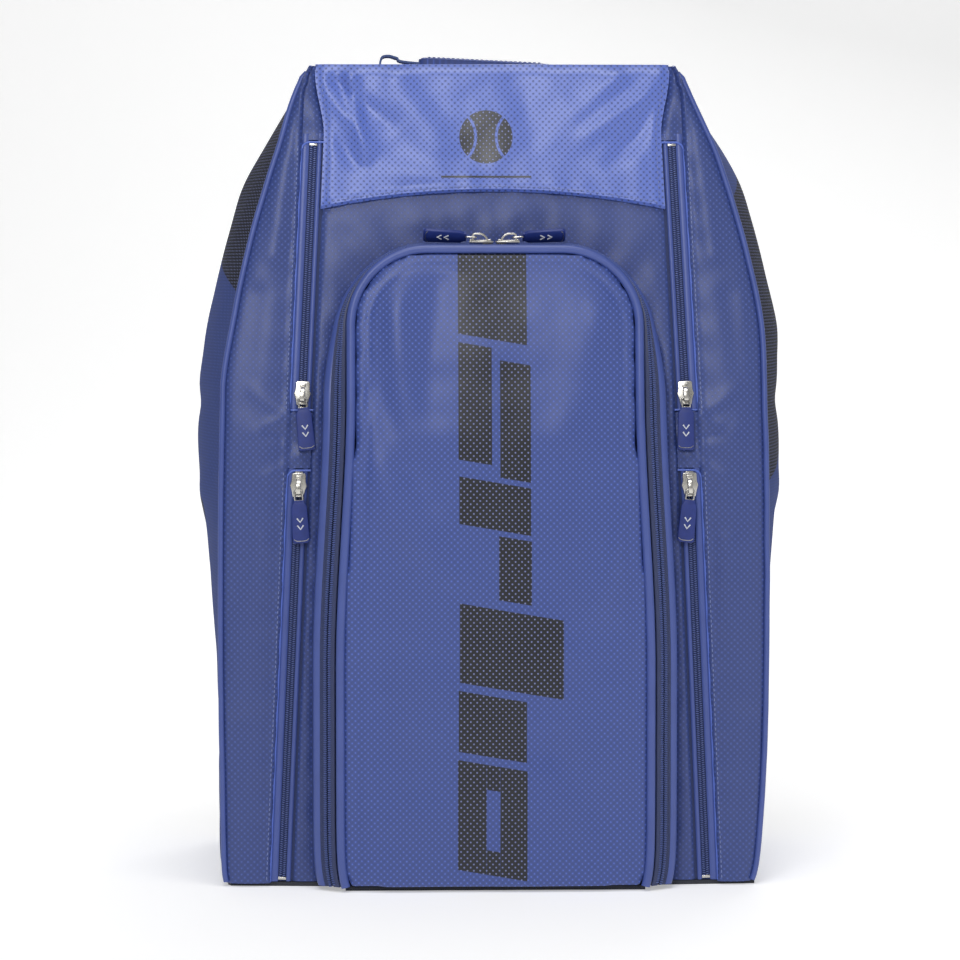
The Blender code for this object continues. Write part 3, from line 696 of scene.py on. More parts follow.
# Each block is (left, right, low, high).
FLAP_PRINT_SLOPE = 0.17
FLAP_BLOCKS = (
    (-0.0270, 0.0225, 0.398, 0.470),
    (-0.0270, -0.0030, 0.308, 0.392),
    (0.0030, 0.0250, 0.300, 0.384),
    (-0.0265, 0.0250, 0.262, 0.296),
    (0.0020, 0.0255, 0.212, 0.258),
    (-0.0262, 0.0485, 0.148, 0.205),
    (-0.0270, 0.0220, 0.098, 0.142),
    (-0.0275, -0.0070, 0.012, 0.092),
    (0.0030, 0.0225, 0.012, 0.092),
    (-0.0070, 0.0030, 0.012, 0.030),
    (-0.0070, 0.0030, 0.074, 0.092),
)


def flap_print(made):
    return slanted_blocks(made, "x", "z", FLAP_PRINT_SLOPE, FLAP_BLOCKS)


BALL = (-0.005, 0.5455, 0.0195)  # middle x and z, radius


def yoke_print(made):
    """A plain ball with two curved seams above a thin bar."""
    x, z = made.axes["x"], made.axes["z"]

    def away(centre_x):
        side = made.maths("SUBTRACT", x, centre_x)
        height = made.maths("SUBTRACT", z, BALL[1])
        return made.maths("SQRT", made.plus(made.times(side, side), made.times(height, height)))

    disc = made.maths("SUBTRACT", 1.0, made.step(away(BALL[0]), BALL[2] - 0.0003, BALL[2] + 0.0003))
    for side in (-1, 1):
        seam = made.band(away(BALL[0] + side * 0.030), 0.0215, 0.0235)
        disc = made.times(disc, made.maths("SUBTRACT", 1.0, seam))
    bar = made.times(made.band(x, -0.038, 0.028), made.band(z, 0.5155, 0.5170))
    return made.maths("MAXIMUM", disc, bar)


SIDE_PRINT_SLOPE = -0.25
LEFT_SIDE_BLOCKS = ((-0.20, 0.20, 0.458, 0.70), (-0.045, 0.20, 0.272, 0.288))
RIGHT_SIDE_BLOCKS = ((-0.20, 0.20, 0.322, 0.524),)


def left_side_print(made):
    return slanted_blocks(made, "y", "z", SIDE_PRINT_SLOPE, LEFT_SIDE_BLOCKS)


def right_side_print(made):
    return slanted_blocks(made, "y", "z", SIDE_PRINT_SLOPE, RIGHT_SIDE_BLOCKS)


def speckled(name, tint, scale, detail, tones, dulls, rise, **sockets):
    """A finish with one fine unevenness in its colour, roughness and surface."""
    made = Finish(name, tint, dulls[0], **sockets)
    grain = made.unevenness(scale, detail)
    made.colour(made.mix(grain, tinted(tint, tones[0]), tinted(tint, tones[1])))
    made.roughness(made.plus(dulls[0], made.times(grain, dulls[1])))
    made.relief(made.times(grain, rise))
    return made.material


@finish_once("zip_coil_nylon")
def coil_finish(name):
    return speckled(name, colours().coil, 500, 2, (0.75, 1.35), (0.28, 0.2), 0.08, Coat_Weight=0.1)


@finish_once("sewing_thread")
def thread_finish(name):
    return speckled(name, colours().thread, 2500, 2, (0.7, 1.2), (0.5, 0.2), 0.08, Sheen_Weight=0.3)


@finish_once("pull_mark_paint")
def mark_finish(name):
    return speckled(name, colours().mark, 900, 3, (0.8, 1.0), (0.3, 0.25), 0.03)


@finish_once("welt_leather")
def welt_finish(name):
    """The shell's leather made 1.35 times lighter, for the thin welts round the side zips."""
    pale = tinted(colours().leather, 1.35)
    return speckled(name, pale, 1300, 3, (0.75, 1.15), (0.34, 0.2), 0.06, Coat_Weight=0.1)


@finish_once("piping_leather")
def piping_finish(name):
    blue = colours().piping
    made = Finish(name, blue, 0.38, Coat_Weight=0.20, Coat_Roughness=0.30)
    patches = made.unevenness(60, 3)
    grain = made.unevenness(1400, 3)
    shade = made.mix(patches, tinted(blue, 0.85), tinted(blue, 1.15))
    made.colour(made.mix(made.times(grain, 0.3), shade, tinted(blue, 0.7)))
    made.roughness(made.plus(0.32, made.times(grain, 0.16)))
    made.relief(made.plus(made.times(grain, 0.05), made.times(patches, 0.10)))
    return made.material


@finish_once("zip_tape_weave")
def tape_finish(name):
    blue = colours().tape
    made = Finish(name, blue, 0.8, Sheen_Weight=0.25, Sheen_Roughness=0.5)
    weave = made.emboss("x", "z", 0.00045, -0.4, 0.6)
    patches = made.unevenness(90, 3)
    threads = made.mix(patches, tinted(blue, 0.95), tinted(blue, 1.3))
    made.colour(made.mix(weave, tinted(blue, 0.65), threads))
    made.roughness(made.plus(0.68, made.times(patches, 0.2)))
    made.relief(made.times(weave, 0.12))
    return made.material


@finish_once("nickel_plate")
def nickel_finish(name):
    tint = colours().nickel
    made = Finish(name, tint, 0.25, 1.0)
    wear = made.unevenness(260, 4)
    scratches = made.unevenness(1500, 2, (1, 1, 0.15))
    made.colour(made.mix(wear, tinted(tint, 0.82), tinted(tint, 1.12)))
    made.roughness(made.plus(0.16, made.plus(made.times(wear, 0.14), made.times(scratches, 0.10))))
    made.relief(made.times(scratches, 0.02))
    return made.material


@finish_once("pull_rubber")
def rubber_finish(name):
    blue = colours().rubber
    made = Finish(name, blue, 0.45)
    dust = made.unevenness(300, 4)
    grain = made.unevenness(2200, 2)
    made.colour(made.mix(dust, tinted(blue, 0.8), tinted(blue, 1.25)))
    made.roughness(made.plus(0.36, made.times(dust, 0.2)))
    made.relief(made.plus(made.times(grain, 0.03), made.times(dust, 0.04)))
    return made.material


def webbing_finish(name, across, along, colour):
    """Ribbed webbing: plaited rows across and warp cords along."""
    if name in MADE:
        return MADE[name]
    made = Finish(name, colour, 0.75, Sheen_Weight=0.35, Sheen_Roughness=0.4)
    ribs = made.step(made.waves(across, 0.0021), -0.8, 0.8)
    rows = made.step(made.waves(along, 0.0016), -0.9, 0.9)
    weave = made.times(made.plus(0.35, ribs), made.plus(0.45, rows))
    fuzz = made.unevenness(1200, 3)
    shade = made.mix(weave, tinted(colour, 0.55), tinted(colour, 1.2))
    made.colour(made.mix(made.times(fuzz, 0.4), shade, tinted(colour, 0.8)))
    made.roughness(made.plus(0.62, made.times(fuzz, 0.25)))
    made.relief(made.plus(made.times(weave, 0.28), made.times(fuzz, 0.06)))
    MADE[name] = made.material
    return made.material


@finish_once("spacer_mesh")
def mesh_finish(name):
    dark = colours().padding
    made = Finish(name, dark, 0.85, Sheen_Weight=0.4, Sheen_Roughness=0.5)
    holes = made.emboss("x", "z", 0.0017, 0.15, 0.6)
    fuzz = made.unevenness(1500, 2)
    patches = made.unevenness(25, 3)
    yarn = made.mix(fuzz, tinted(dark, 1.2), tinted(dark, 2.4))
    yarn = made.mix(patches, yarn, tinted(dark, 1.6))
    made.colour(made.mix(holes, yarn, tinted(dark, 0.25)))
    made.roughness(made.plus(0.7, made.times(fuzz, 0.2)))
    made.relief(made.plus(made.times(holes, -0.45), made.times(fuzz, 0.08)))
    return made.material


@finish_once("lining_cloth")
def lining_finish(name):
    dark = colours().lining
    made = Finish(name, dark, 0.8, Sheen_Weight=0.2)
    weave = made.emboss("x", "z", 0.0006, -0.3, 0.6)
    threads = made.emboss("y", "z", 0.0006, -0.3, 0.6)
    both = made.maths("MAXIMUM", weave, threads)
    patches = made.unevenness(20, 4)
    made.colour(made.mix(both, tinted(dark, 0.6), made.mix(patches, dark, tinted(dark, 1.8))))
    made.roughness(made.plus(0.65, made.times(patches, 0.2)))
    made.relief(made.plus(made.times(both, 0.12), made.times(patches, 0.3)))
    return made.material


@finish_once("moulded_plastic")
def plastic_finish(name):
    dark = colours().plastic
    made = Finish(name, dark, 0.4)
    grain = made.unevenness(1600, 2)
    wear = made.unevenness(120, 4)
    made.colour(made.mix(wear, dark, tinted(dark, 2.0)))
    made.roughness(made.plus(0.32, made.times(wear, 0.2)))
    made.relief(made.times(grain, 0.05))
    return made.material


# ---- stage ----
class RACKETBAG_OT_stage(bpy.types.Operator):
    """Add the floor and its sweep, the lights and the camera"""

    bl_idname = "racket_bag.stage"
    bl_label = "Stage"

    def execute(self, context):
        self.add_sweep()
        self.add_lights()
        self.add_camera()
        return {"FINISHED"}

    def add_sweep(self):
        bend = 1.2
        far = 2.2
        profile = [(-5.0, 0.0), (far, 0.0)]
        for angle in steps(0, 90, 16)[1:]:
            turn = math.radians(angle)
            profile.append((far + bend * math.sin(turn), bend - bend * math.cos(turn)))
        profile.append((far + bend, 5.0))
        bm = bmesh.new()
        bmesh.ops.create_grid(bm, x_segments=1, y_segments=len(profile) - 1, size=1.0)
        for vert in bm.verts:
            index = round((vert.co.y + 1) / 2 * (len(profile) - 1))
            y, z = profile[index]
            vert.co = Vector((vert.co.x * 6.0, y, z))
        mesh = bpy.data.meshes.new("sweep")
        bm.to_mesh(mesh)
        bm.free()
        mesh.shade_smooth()
        made = Finish("backdrop_paper", colours().backdrop, 0.9)
        tone = made.unevenness(2, 2)
        grey = colours().backdrop
        made.colour(made.mix(tone, tinted(grey, 0.99), grey))
        made.shader.inputs["Emission Color"].default_value = (1, 1, 1, 1)
        made.shader.inputs["Emission Strength"].default_value = 0.38
        shown("sweep", mesh, made.material)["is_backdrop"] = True

    def add_lights(self):
        scene = bpy.context.scene
        scene.world = bpy.data.worlds.new("studio")
        scene.world.use_nodes = True
        background = scene.world.node_tree.nodes["Background"]
        background.inputs["Color"].default_value = (1, 1, 1, 1)
        background.inputs["Strength"].default_value = 0.20
        lamps = (
            ("key", (-0.5, -2.6, 1.75), (0.0, -0.1, 0.46), 0.9, 25),
            ("fill", (2.1, -2.2, 1.0), (0.0, 0.0, 0.30), 2.0, 7),
            ("overhead", (0.0, -0.8, 2.5), (0.0, -0.1, 0.50), 1.0, 18),
            ("behind", (0.6, 2.6, 2.0), (0.0, 0.0, 0.35), 1.8, 26),
        )
        for name, place, aim, size, power in lamps:
            data = bpy.data.lights.new(name, "AREA")
            data.size = size
            data.energy = power
            lamp = bpy.data.objects.new(name, data)
            lamp.location = place
            lamp.rotation_euler = (Vector(aim) - Vector(place)).to_track_quat("-Z", "Y").to_euler()
            scene.collection.objects.link(lamp)
        scene.view_settings.view_transform = "Standard"

    def add_camera(self):
        yaw = math.radians(1.8)
        view_width = 0.696
        aim = Vector((-0.0105, FRONT_Y, 0.296))
        rise = 0.154
        distance = sizes().camera_distance
        data = bpy.data.cameras.new("camera")
        data.sensor_width = 36.0
        data.lens = data.sensor_width * distance / view_width
        camera = bpy.data.objects.new("camera", data)
        camera.location = aim - Vector((math.sin(yaw), math.cos(yaw), 0)) * distance + UP * rise
        camera.rotation_euler = (math.radians(90) - math.atan2(rise, distance), 0, -yaw)
        bpy.context.scene.collection.objects.link(camera)
        bpy.context.scene.camera = camera


# ---- shell ----
def side_point(side, depth, z):
    half = body_half(z) - BACK_NARROWER * depth + bulge(z) * 1.14 * math.sin(math.pi * depth)
    near = front_y(z) + 0.0012
    y = near + (BACK_Y - 0.001 - near) * depth
    wave = waviness(y, side * 3.0, z, 0.075) * 0.0016 + waviness(y, side * 5.0, z, 0.030) * 0.0005
    pucker = 0.0006 * math.sin(z / 0.0065) * (math.exp(-depth / 0.03) + math.exp((depth - 1) / 0.03))
    sag = folds(y, z, SIDE_FOLDS) * math.sin(math.pi * depth)
    return Vector((side * (half + (wave + sag) * math.sin(math.pi * depth) + pucker) + sway(z), y, z))


# Each fold runs from its first y and z to its second; then come its width and its rise.
SIDE_FOLDS = (
    (-0.09, 0.30, 0.05, 0.255, 0.012, 0.0030),
    (-0.08, 0.36, 0.06, 0.335, 0.011, -0.0026),
    (0.10, 0.44, -0.02, 0.40, 0.013, 0.0024),
    (-0.10, 0.12, 0.06, 0.085, 0.016, -0.0028),
    (0.11, 0.19, 0.00, 0.15, 0.014, 0.0022),
)


class RACKETBAG_OT_side_panels(bpy.types.Operator):
    """Sew the two swelling side panels, the top, the back and the base"""

    bl_idname = "racket_bag.side_panels"
    bl_label = "Sides, top, back and base"

    def execute(self, context):
        for label, side, printed in (("left", -1, left_side_print), ("right", 1, right_side_print)):
            self.add_side(label, side, printed)
        self.add_top()
        self.add_back()
        self.add_base()
        return {"FINISHED"}

    def add_side(self, label, side, printed):
        def place(u, v):
            depth = u if side > 0 else 1 - u
            return side_point(side, depth, BASE_Z - HEM + (SIDE_TOP_Z - BASE_Z) * v)

        # tone 0.80 gives a darker copy of the shell leather: painted shade on the side panels.
        leather = embossed_leather("side_leather_" + label, "y", "z", printed, tone=0.80, gloss=0.12)
        obj = panel(label + "_side_cloth", 64, 140, place, leather)
        dress(obj, "bag", "shell", label + "_side_panel")
        declare_cut(obj, 0.300, 0.590)

    def add_top(self):
        corner_z = TOP_Z - CORNER_R
        reach = CORNER_X + CORNER_R * math.pi / 2

        def place(u, v):
            along = (2 * u - 1) * reach
            across = abs(along)
            if across < CORNER_X:
                x, z = across, TOP_Z
            else:
                turn = (across - CORNER_X) / CORNER_R
                x = CORNER_X + CORNER_R * math.sin(turn)
                z = corner_z + CORNER_R * math.cos(turn)
            dip = TOP_DIP * math.sin(math.pi * v) * (1 - clamp(x / 0.125) ** 6)
            near = front_y(z) + 0.0045
            y = near + (BACK_Y - 0.001 - near) * v
            x -= BACK_NARROWER * v * x / CORNER_X
            lift = waviness(x * math.copysign(1, along), y, 0.7, 0.05) * 0.0012 * math.sin(math.pi * v)
            lift += 0.0062 * math.exp(-((v - 0.05) / 0.10) ** 2) * (1 - clamp(x / 0.134) ** 6)
            lift -= 0.0022 * math.exp(-v / 0.02)
            return Vector((math.copysign(x, along), y, z - dip + lift))

        leather = embossed_leather("top_leather", "x", "y")
        obj = panel("top_cloth", 90, 56, place, leather)
        dress(obj, "bag", "shell", "top_panel")
        declare_cut(obj, 0.300, 0.215)

    def add_back(self):
        def place(u, v):
            z = BASE_Z - HEM + (0.592 - BASE_Z) * v
            x = (1 - 2 * u) * (body_half(z) - BACK_NARROWER - 0.0006) + sway(z)
            edge = min(u, 1 - u) * 2 * body_half(z)
            puff = 0.0016 * smooth(edge / 0.02) + waviness(x, 0.4, z, 0.06) * 0.0008
            channel = 0.0012 * math.exp(-((abs(x) - 0.008) / 0.003) ** 2)
            return Vector((x, BACK_Y + puff - channel - 0.0022, z))

        obj = panel("back_cloth", 84, 120, place, lining_finish(), wall=0.004)
        dress(obj, "bag", "lining", "back_panel")
        declare_cut(obj, 0.400, 0.595)

    def add_base(self):
        def place(u, v):
            y = -0.1555 + (BACK_Y - 0.001 + 0.1555) * v
            half = 0.1085 if y < FRONT_Y else body_half(0.003) - 0.0005
            if FRONT_Y - 0.008 < y < FRONT_Y:
                half = 0.1085 + 0.012 * smooth((y - FRONT_Y + 0.008) / 0.008)
            x = (2 * u - 1) * half + sway(BASE_Z) * smooth((y - FRONT_Y) / 0.01)
            return Vector((x, y, 0.0030 - 0.0002 * abs(waviness(x, y, 0.2, 0.03))))

        obj = panel("base_cloth", 60, 50, place, lining_finish(), wall=0.0028)
        dress(obj, "bag", "lining", "base_panel")


def declare_cut(obj, width, length):
    """Says that a panel is cut cloth of that size."""
    print("cut", obj.name, round(obj["cut_area"], 5), "of", round(width * length, 5))


# On the front each fold runs from its first x and z to its second; then come its width and its rise.
FRONT_FOLDS = (
    (0.142, 0.3440, 0.172, 0.3320, 0.0050, 0.0022),
    (0.141, 0.3230, 0.170, 0.3330, 0.0048, -0.0016),
    (0.143, 0.3120, 0.166, 0.2980, 0.0045, 0.0018),
    (0.150, 0.3440, 0.176, 0.3620, 0.0055, 0.0014),
    (0.160, 0.4600, 0.150, 0.5400, 0.0075, 0.0016),
    (0.172, 0.4300, 0.181, 0.3500, 0.0090, -0.0016),
    (0.168, 0.2500, 0.180, 0.1400, 0.0100, 0.0016),
    (0.188, 0.1200, 0.176, 0.0300, 0.0080, -0.0014),
    (0.135, 0.5850, 0.150, 0.5500, 0.0060, 0.0015),
)


def window_edge(z):
    """Inner edge of an outer front panel, beside the zips."""
    return zip_x(z) + ZIP_STRIP_HALF + 0.0002


def front_skin(side, x, z, inner, outer):
    """A point of an outer front panel, with its crown, hem and folds."""
    share = clamp((x - inner) / (outer - inner))
    crown = 0.0042 * (4 * share * (1 - share)) ** 0.7
    hem = 0.0014 * math.exp(-((x - inner - 0.0022) / 0.0020) ** 2)
    tuck = 0.0016 * math.exp(-(outer - x) / 0.0022)
    ripple = 0.0005 * math.sin(z / 0.0042) * math.exp(-(x - inner) / 0.010)
    wave = waviness(x * side, 0.0, z * 0.45, 0.028) * 0.0011
    wave *= smooth(share * 4) * smooth((1 - share) * 4)
    lift = crown + hem - tuck + ripple + wave + folds(x, z, FRONT_FOLDS)
    return Vector((side * x, front_y(z) - lift, z))


YOKE_FOLDS = (
    (-0.128, 0.5850, -0.090, 0.5380, 0.0065, 0.0026),
    (-0.116, 0.5860, -0.078, 0.5560, 0.0070, -0.0024),
    (-0.104, 0.5880, -0.094, 0.5300, 0.0050, 0.0026),
    (-0.126, 0.5560, -0.100, 0.5260, 0.0055, -0.0020),
    (-0.070, 0.5860, -0.040, 0.5400, 0.0120, 0.0022),
    (0.128, 0.5860, 0.070, 0.5480, 0.0075, 0.0026),
    (0.126, 0.5660, 0.086, 0.5260, 0.0070, -0.0020),
    (0.090, 0.5880, 0.060, 0.5620, 0.0080, 0.0018),
    (0.020, 0.5880, 0.034, 0.5300, 0.0140, -0.0016),
    (-0.020, 0.5150, -0.080, 0.5200, 0.0090, 0.0012),
)


def yoke_skin(x, z):
    low = yoke_seam_z(x)
    edge = centre_edge(z)
    near_seam = z - low
    hem = 0.0016 * math.exp(-((near_seam - 0.0020) / 0.0022) ** 2) + 0.0012 * smooth(near_seam / 0.0015)
    sides = smooth((edge - abs(x)) / 0.006)
    calm = smooth((edge - abs(x) - 0.002) / 0.016)
    wave = waviness(x, 0.3, z, 0.030) * 0.0011 + waviness(x, 0.9, z, 0.013) * 0.0003
    pucker = 0.00035 * math.sin(x / 0.0032) * math.exp(-near_seam / 0.008)
    lift = hem + 0.0016 * sides + (1.5 * folds(x, z, YOKE_FOLDS) + wave) * calm + pucker
    rolled = 52.0 * max(0.0, z - 0.5895) ** 2
    return Vector((x, front_y(z) - lift + rolled, z))


class RACKETBAG_OT_front_panels(bpy.types.Operator):
    """Sew the outer front panels, the yoke and the panel round the flap"""

    bl_idname = "racket_bag.front_panels"
    bl_label = "Front panels"

    def execute(self, context):
        for label, side in (("left", -1), ("right", 1)):
            self.add_outer(label, side)
        self.add_yoke()
        self.add_centre()
        return {"FINISHED"}

    def add_outer(self, label, side):
        strip = 6
        count = 30
        rows = 200
        bridge = (LOWER_ZIP[1] + 0.0012, UPPER_ZIP[0] - 0.0012)
        above = UPPER_ZIP[1] + 0.0012

        def height(v):
            return BASE_Z - HEM + (OUTER_TOP_Z - BASE_Z) * v

        def solid(z):
            return bridge[0] < z < bridge[1] or z > above

        def place(u, v):
            column = round((u if side > 0 else 1 - u) * count)
            z = height(v)
            for limit in (*bridge, above):
                if abs(z - limit) < 0.0015:
                    z = limit
            outer = body_half(z) + side * sway(z) - 0.0004
            edge = min(window_edge(z), outer - 0.006)
            inner = centre_edge(z) + GAP
            if column >= strip:
                x = edge + (outer - edge) * (column - strip) / (count - strip)
            else:
                x = inner + (edge - inner) * column / strip
            blended = smooth((z - above) / 0.010) if z > above else 0.0
            point = front_skin(side, x, z, edge, outer)
            if column < strip:
                flat = front_skin(side, edge, z, edge, outer)
                fold = folds(x, z, FRONT_FOLDS) - folds(edge, z, FRONT_FOLDS)
                point.y = flat.y - fold - 0.0006 * math.sin((x - inner) / 0.004)
            point.y += 0.0026 * blended * (1 - smooth((x - inner) / 0.005))
            share = clamp((x - inner) / (outer - inner))
            point.z += 0.0062 * smooth((z - 0.572) / 0.0205) * (1 - share**3)
            return point

        def kept(u, v):
            column = (u if side > 0 else 1 - u) * count
            return column > strip or solid(height(v))

        # tone 0.84 gives a darker copy of the shell leather: painted shade on the outer front panels, also
        # used by the centre panel and the pocket wall.
        leather = embossed_leather("front_leather", "x", "z", contrast=0.9, tone=0.84)
        obj = panel(label + "_front_cloth", count, rows, place, leather, kept=kept)
        dress(obj, "bag", "shell", label + "_front_panel", angle=60)
        declare_cut(obj, 0.074, 0.612)
        seam = [place(1.0 if side > 0 else 0.0, v) for v in steps(0.0, 1.0, 160)]
        inset = [p + Vector((-side * 0.0034, -0.0012, 0)) for p in seam]
        welts = [Track(inset, FRONT)]
        for span in (LOWER_ZIP, UPPER_ZIP):
            line = []
            for z in steps(span[0] + 0.001, span[1] - 0.001, 60):
                edge = window_edge(z)
                line.append(front_skin(side, edge + 0.0030, z, edge, body_half(z) - 0.0004))
            welts.append(Track(line, FRONT))
        add_stitches(label + "_front_stitches", "bag", "trim", *welts)

    def add_yoke(self):
        def place(u, v):
            z = YOKE_TOP_Z
            for _ in range(2):
                x = (2 * u - 1) * (centre_edge(z) + 0.0010)
                low = yoke_seam_z(x) - 0.0006
                z = low + (YOKE_LIP_Z - low) * v
            return yoke_skin(x, z)

        # tone 0.92 gives a slightly darker copy of the shell leather (painted shade), and the dots' tint
        # 0.5 paints each dot darker: painted shade in the pits.
        leather = embossed_leather(
            "yoke_leather", "x", "z", yoke_print, contrast=1.5, tone=0.92, gloss=1.8, painted_dot_light=0.5
        )
        obj = panel("yoke_cloth", 130, 46, place, leather)
        dress(obj, "bag", "shell", "yoke_panel")
        declare_cut(obj, 0.262, 0.102)
        seam = []
        for u in steps(0.01, 0.99, 120):
            x = (2 * u - 1) * centre_edge(YOKE_SEAM_Z)
            seam.append(yoke_skin(x, yoke_seam_z(x) + 0.0034))
        sides = []
        for side in (-1, 1):
            line = []
            for z in steps(0.500, 0.588, 40):
                line.append(yoke_skin(side * (centre_edge(z) - 0.0030), z))
            sides.append(Track(line, FRONT))
        add_stitches("yoke_stitches", "bag", "trim", Track(seam, FRONT), *sides)

    def add_centre(self):
        path = flap_stations(90, 26, 40)
        first = 90
        corner = centre_edge(0.494)
        start_z = body_point(path[first]).z
        corner_z = yoke_seam_z(corner) + 0.0010
        straight = abs(body_point(path[first + 26]).x)

        def outer_point(station, inner):
            _, normal = station
            side = math.copysign(1, inner.x)
            if normal.z < 0.01:
                return side * (centre_edge(inner.z) + 0.0030), inner.z
            share = math.atan2(normal.z, abs(normal.x)) / (math.pi / 2)
            if share < 0.5:
                z = start_z + (corner_z - start_z) * share / 0.5
                return side * (centre_edge(z) + 0.0030 * (1 - share)), z
            x = corner + (min(abs(inner.x), straight) - corner) * (share - 0.5) / 0.5
            return side * x, yoke_seam_z(x) + 0.0010

        def place(u, v):
            index = v * (len(path) - 1)
            station = path[min(len(path) - 1, round(index))]
            inner = body_point(station, 0.0002)
            x1, z1 = outer_point(station, inner)
            share = 1 - u
            x = inner.x + (x1 - inner.x) * share
            z = inner.z + (z1 - inner.z) * share
            ridge = 4 * share * (1 - share)
            wave = waviness(x, 0.6, z, 0.022) * 0.0012 * ridge
            pucker = 0.0005 * math.sin(index * 0.9) * (1 - share) ** 2
            droop = 0.0030 * smooth((abs(x) - centre_edge(z) + 0.002) / 0.004)
            return Vector((x, front_y(z) - 0.0012 * ridge - wave - pucker + droop, z))

        # The same darker copy of the shell leather as on the outer front panels: painted shade.
        leather = embossed_leather("front_leather", "x", "z", contrast=0.9, tone=0.84)
        obj = panel("centre_front_cloth", 14, len(path) - 1, place, leather)
        dress(obj, "bag", "shell", "centre_front_panel", angle=60)


# ---- the flap's U-shaped edge ----
def flap_stations(leg_steps, corner_steps, top_steps):
    """Points and outward normals of the flap's edge, from the lower left up, over and down."""
    corner_z = FLAP_TOP - FLAP_CORNER_R
    corner_x = FLAP_HALF - FLAP_CORNER_R
    half = []
    for z in steps(BASE_Z, corner_z, leg_steps)[:-1]:
        half.append((flap_half(z), z, 0.0))
    for angle in steps(0, 90, corner_steps):
        turn = math.radians(angle)
        x = corner_x + FLAP_CORNER_R * math.cos(turn)
        half.append((x, corner_z + FLAP_CORNER_R * math.sin(turn), turn))
    for x in steps(corner_x, 0, top_steps // 2)[1:]:
        half.append((x, FLAP_TOP, math.pi / 2))
    path = []
    for x, z, turn in half:
        path.append((Vector((-x, 0, z)), Vector((-math.cos(turn), 0, math.sin(turn)))))
    for x, z, turn in reversed(half[:-1]):
        path.append((Vector((x, 0, z)), Vector((math.cos(turn), 0, math.sin(turn)))))
    return path


def zip_tilt(z):
    turned = smooth((z - TILT_LOW_Z) / (TILT_FULL_Z - TILT_LOW_Z))
    return SIDE_TILT + (TOP_TILT - SIDE_TILT) * turned


def edge_point(station):
    point, _ = station
    return Vector((point.x, front_y(point.z) - FLAP_PROUD, point.z))


def zip_directions(station):
    """Outward along the tape, and raised off it."""
    point, normal = station
    tilt = zip_tilt(point.z)
    outward = normal * math.cos(tilt) + BACK * math.sin(tilt)
    raised = normal * math.sin(tilt) - BACK * math.cos(tilt)
    return outward, raised


def tape_point(station, reach, lift=0.0):
    outward, raised = zip_directions(station)
    return edge_point(station) + outward * (ZIP_OFFSET + reach) + raised * (ZIP_RAISE + lift)


def body_point(station, more=0.0):
    edge = tape_point(station, FIXED_REACH) + station[1] * more
    return Vector((edge.x, front_y(edge.z), edge.z))


class RACKETBAG_OT_pocket_zip(bpy.types.Operator):
    """Add the pocket's wall and the U-shaped zip's tapes, coils, binding and piping"""

    bl_idname = "racket_bag.pocket_zip"
    bl_label = "Pocket zip"

    def execute(self, context):
        path = flap_stations(90, 26, 40)
        last = len(path) - 1

        def strip(name, near, far, lift, wall, material, crown=0.0, columns=4):
            def place(u, v):
                reach = near + (far - near) * u
                rise = lift + crown * (4 * u * (1 - u)) ** 0.6
                return tape_point(path[round(v * last)], reach, rise)

            return panel(name, columns, last, place, material, wall=wall, offset=-1.0)

        bag_tape = strip("pocket_bag_tape_cloth", FIXED_REACH, 0.0010, 0.0006, 0.0010, tape_finish())
        dress(bag_tape, "bag", "tape", "pocket_zip_bag_tape")
        flap_tape = strip("pocket_flap_tape_cloth", -0.0010, -0.0066, 0.0006, 0.0010, tape_finish())
        dress(flap_tape, "flap", "tape", "pocket_zip_flap_tape")
        binding = strip(
            "pocket_zip_binding", 0.0134, 0.0068, 0.0008, 0.0014, piping_finish(), crown=0.0012, columns=8
        )
        dress(binding, "bag", "trim", angle=60)

        centre = [tape_point(station, 0.0) for station in path]
        raised = [zip_directions(station)[1] for station in path]
        track = Track(centre, raised)
        pitch = sizes().tooth_pitch
        for name, body, reach, phase in (("bag", "bag", -1, 0.0), ("flap", "flap", 1, 0.5)):
            shape = bead(0.00165, 0.00058, 0.00105)
            places = track.places(pitch, 0.0006, reach * 0.00185, start=phase * pitch, turn=reach * 0.16)
            mesh = copies(shape, places)
            dress(shown(f"pocket_zip_{name}_coil", mesh, coil_finish()), body, "tape")
        seam = Track([tape_point(station, 0.0050, 0.0008) for station in path], raised)
        dark = copies(bead(0.0004, 0.0011, 0.0003), seam.places(0.0030))
        dress(shown("pocket_zip_tape_stitches", dark, tape_finish()), "bag", "tape")

        self.add_wall(path)
        mesh = tube_mesh([edge_point(station) for station in path], FLAP_PIPING_R, sides=4)
        dress(shown("flap_piping_cord", mesh, piping_finish()), "flap", "trim", "flap_piping", angle=70)
        return {"FINISHED"}

    def add_wall(self, path):
        last = len(path) - 1

        def place(u, v):
            station = path[round(v * last)]
            near_tape = tape_point(station, FIXED_REACH - 0.0004)
            near_body = body_point(station) + BACK * 0.0025
            share = 1 - u
            point = near_tape.lerp(near_body, share)
            slack = 0.0010 * math.sin(math.pi * share) + 0.0003 * math.sin(v * 260) * share
            return point + station[1] * slack

        # The same darker copy of the shell leather as on the outer front panels: painted shade.
        leather = embossed_leather("front_leather", "x", "z", contrast=0.9, tone=0.84)
        obj = panel("pocket_wall_cloth", 8, last, place, leather, wall=0.0014, offset=0.0)
        dress(obj, "bag", "shell", "pocket_gusset", angle=60)


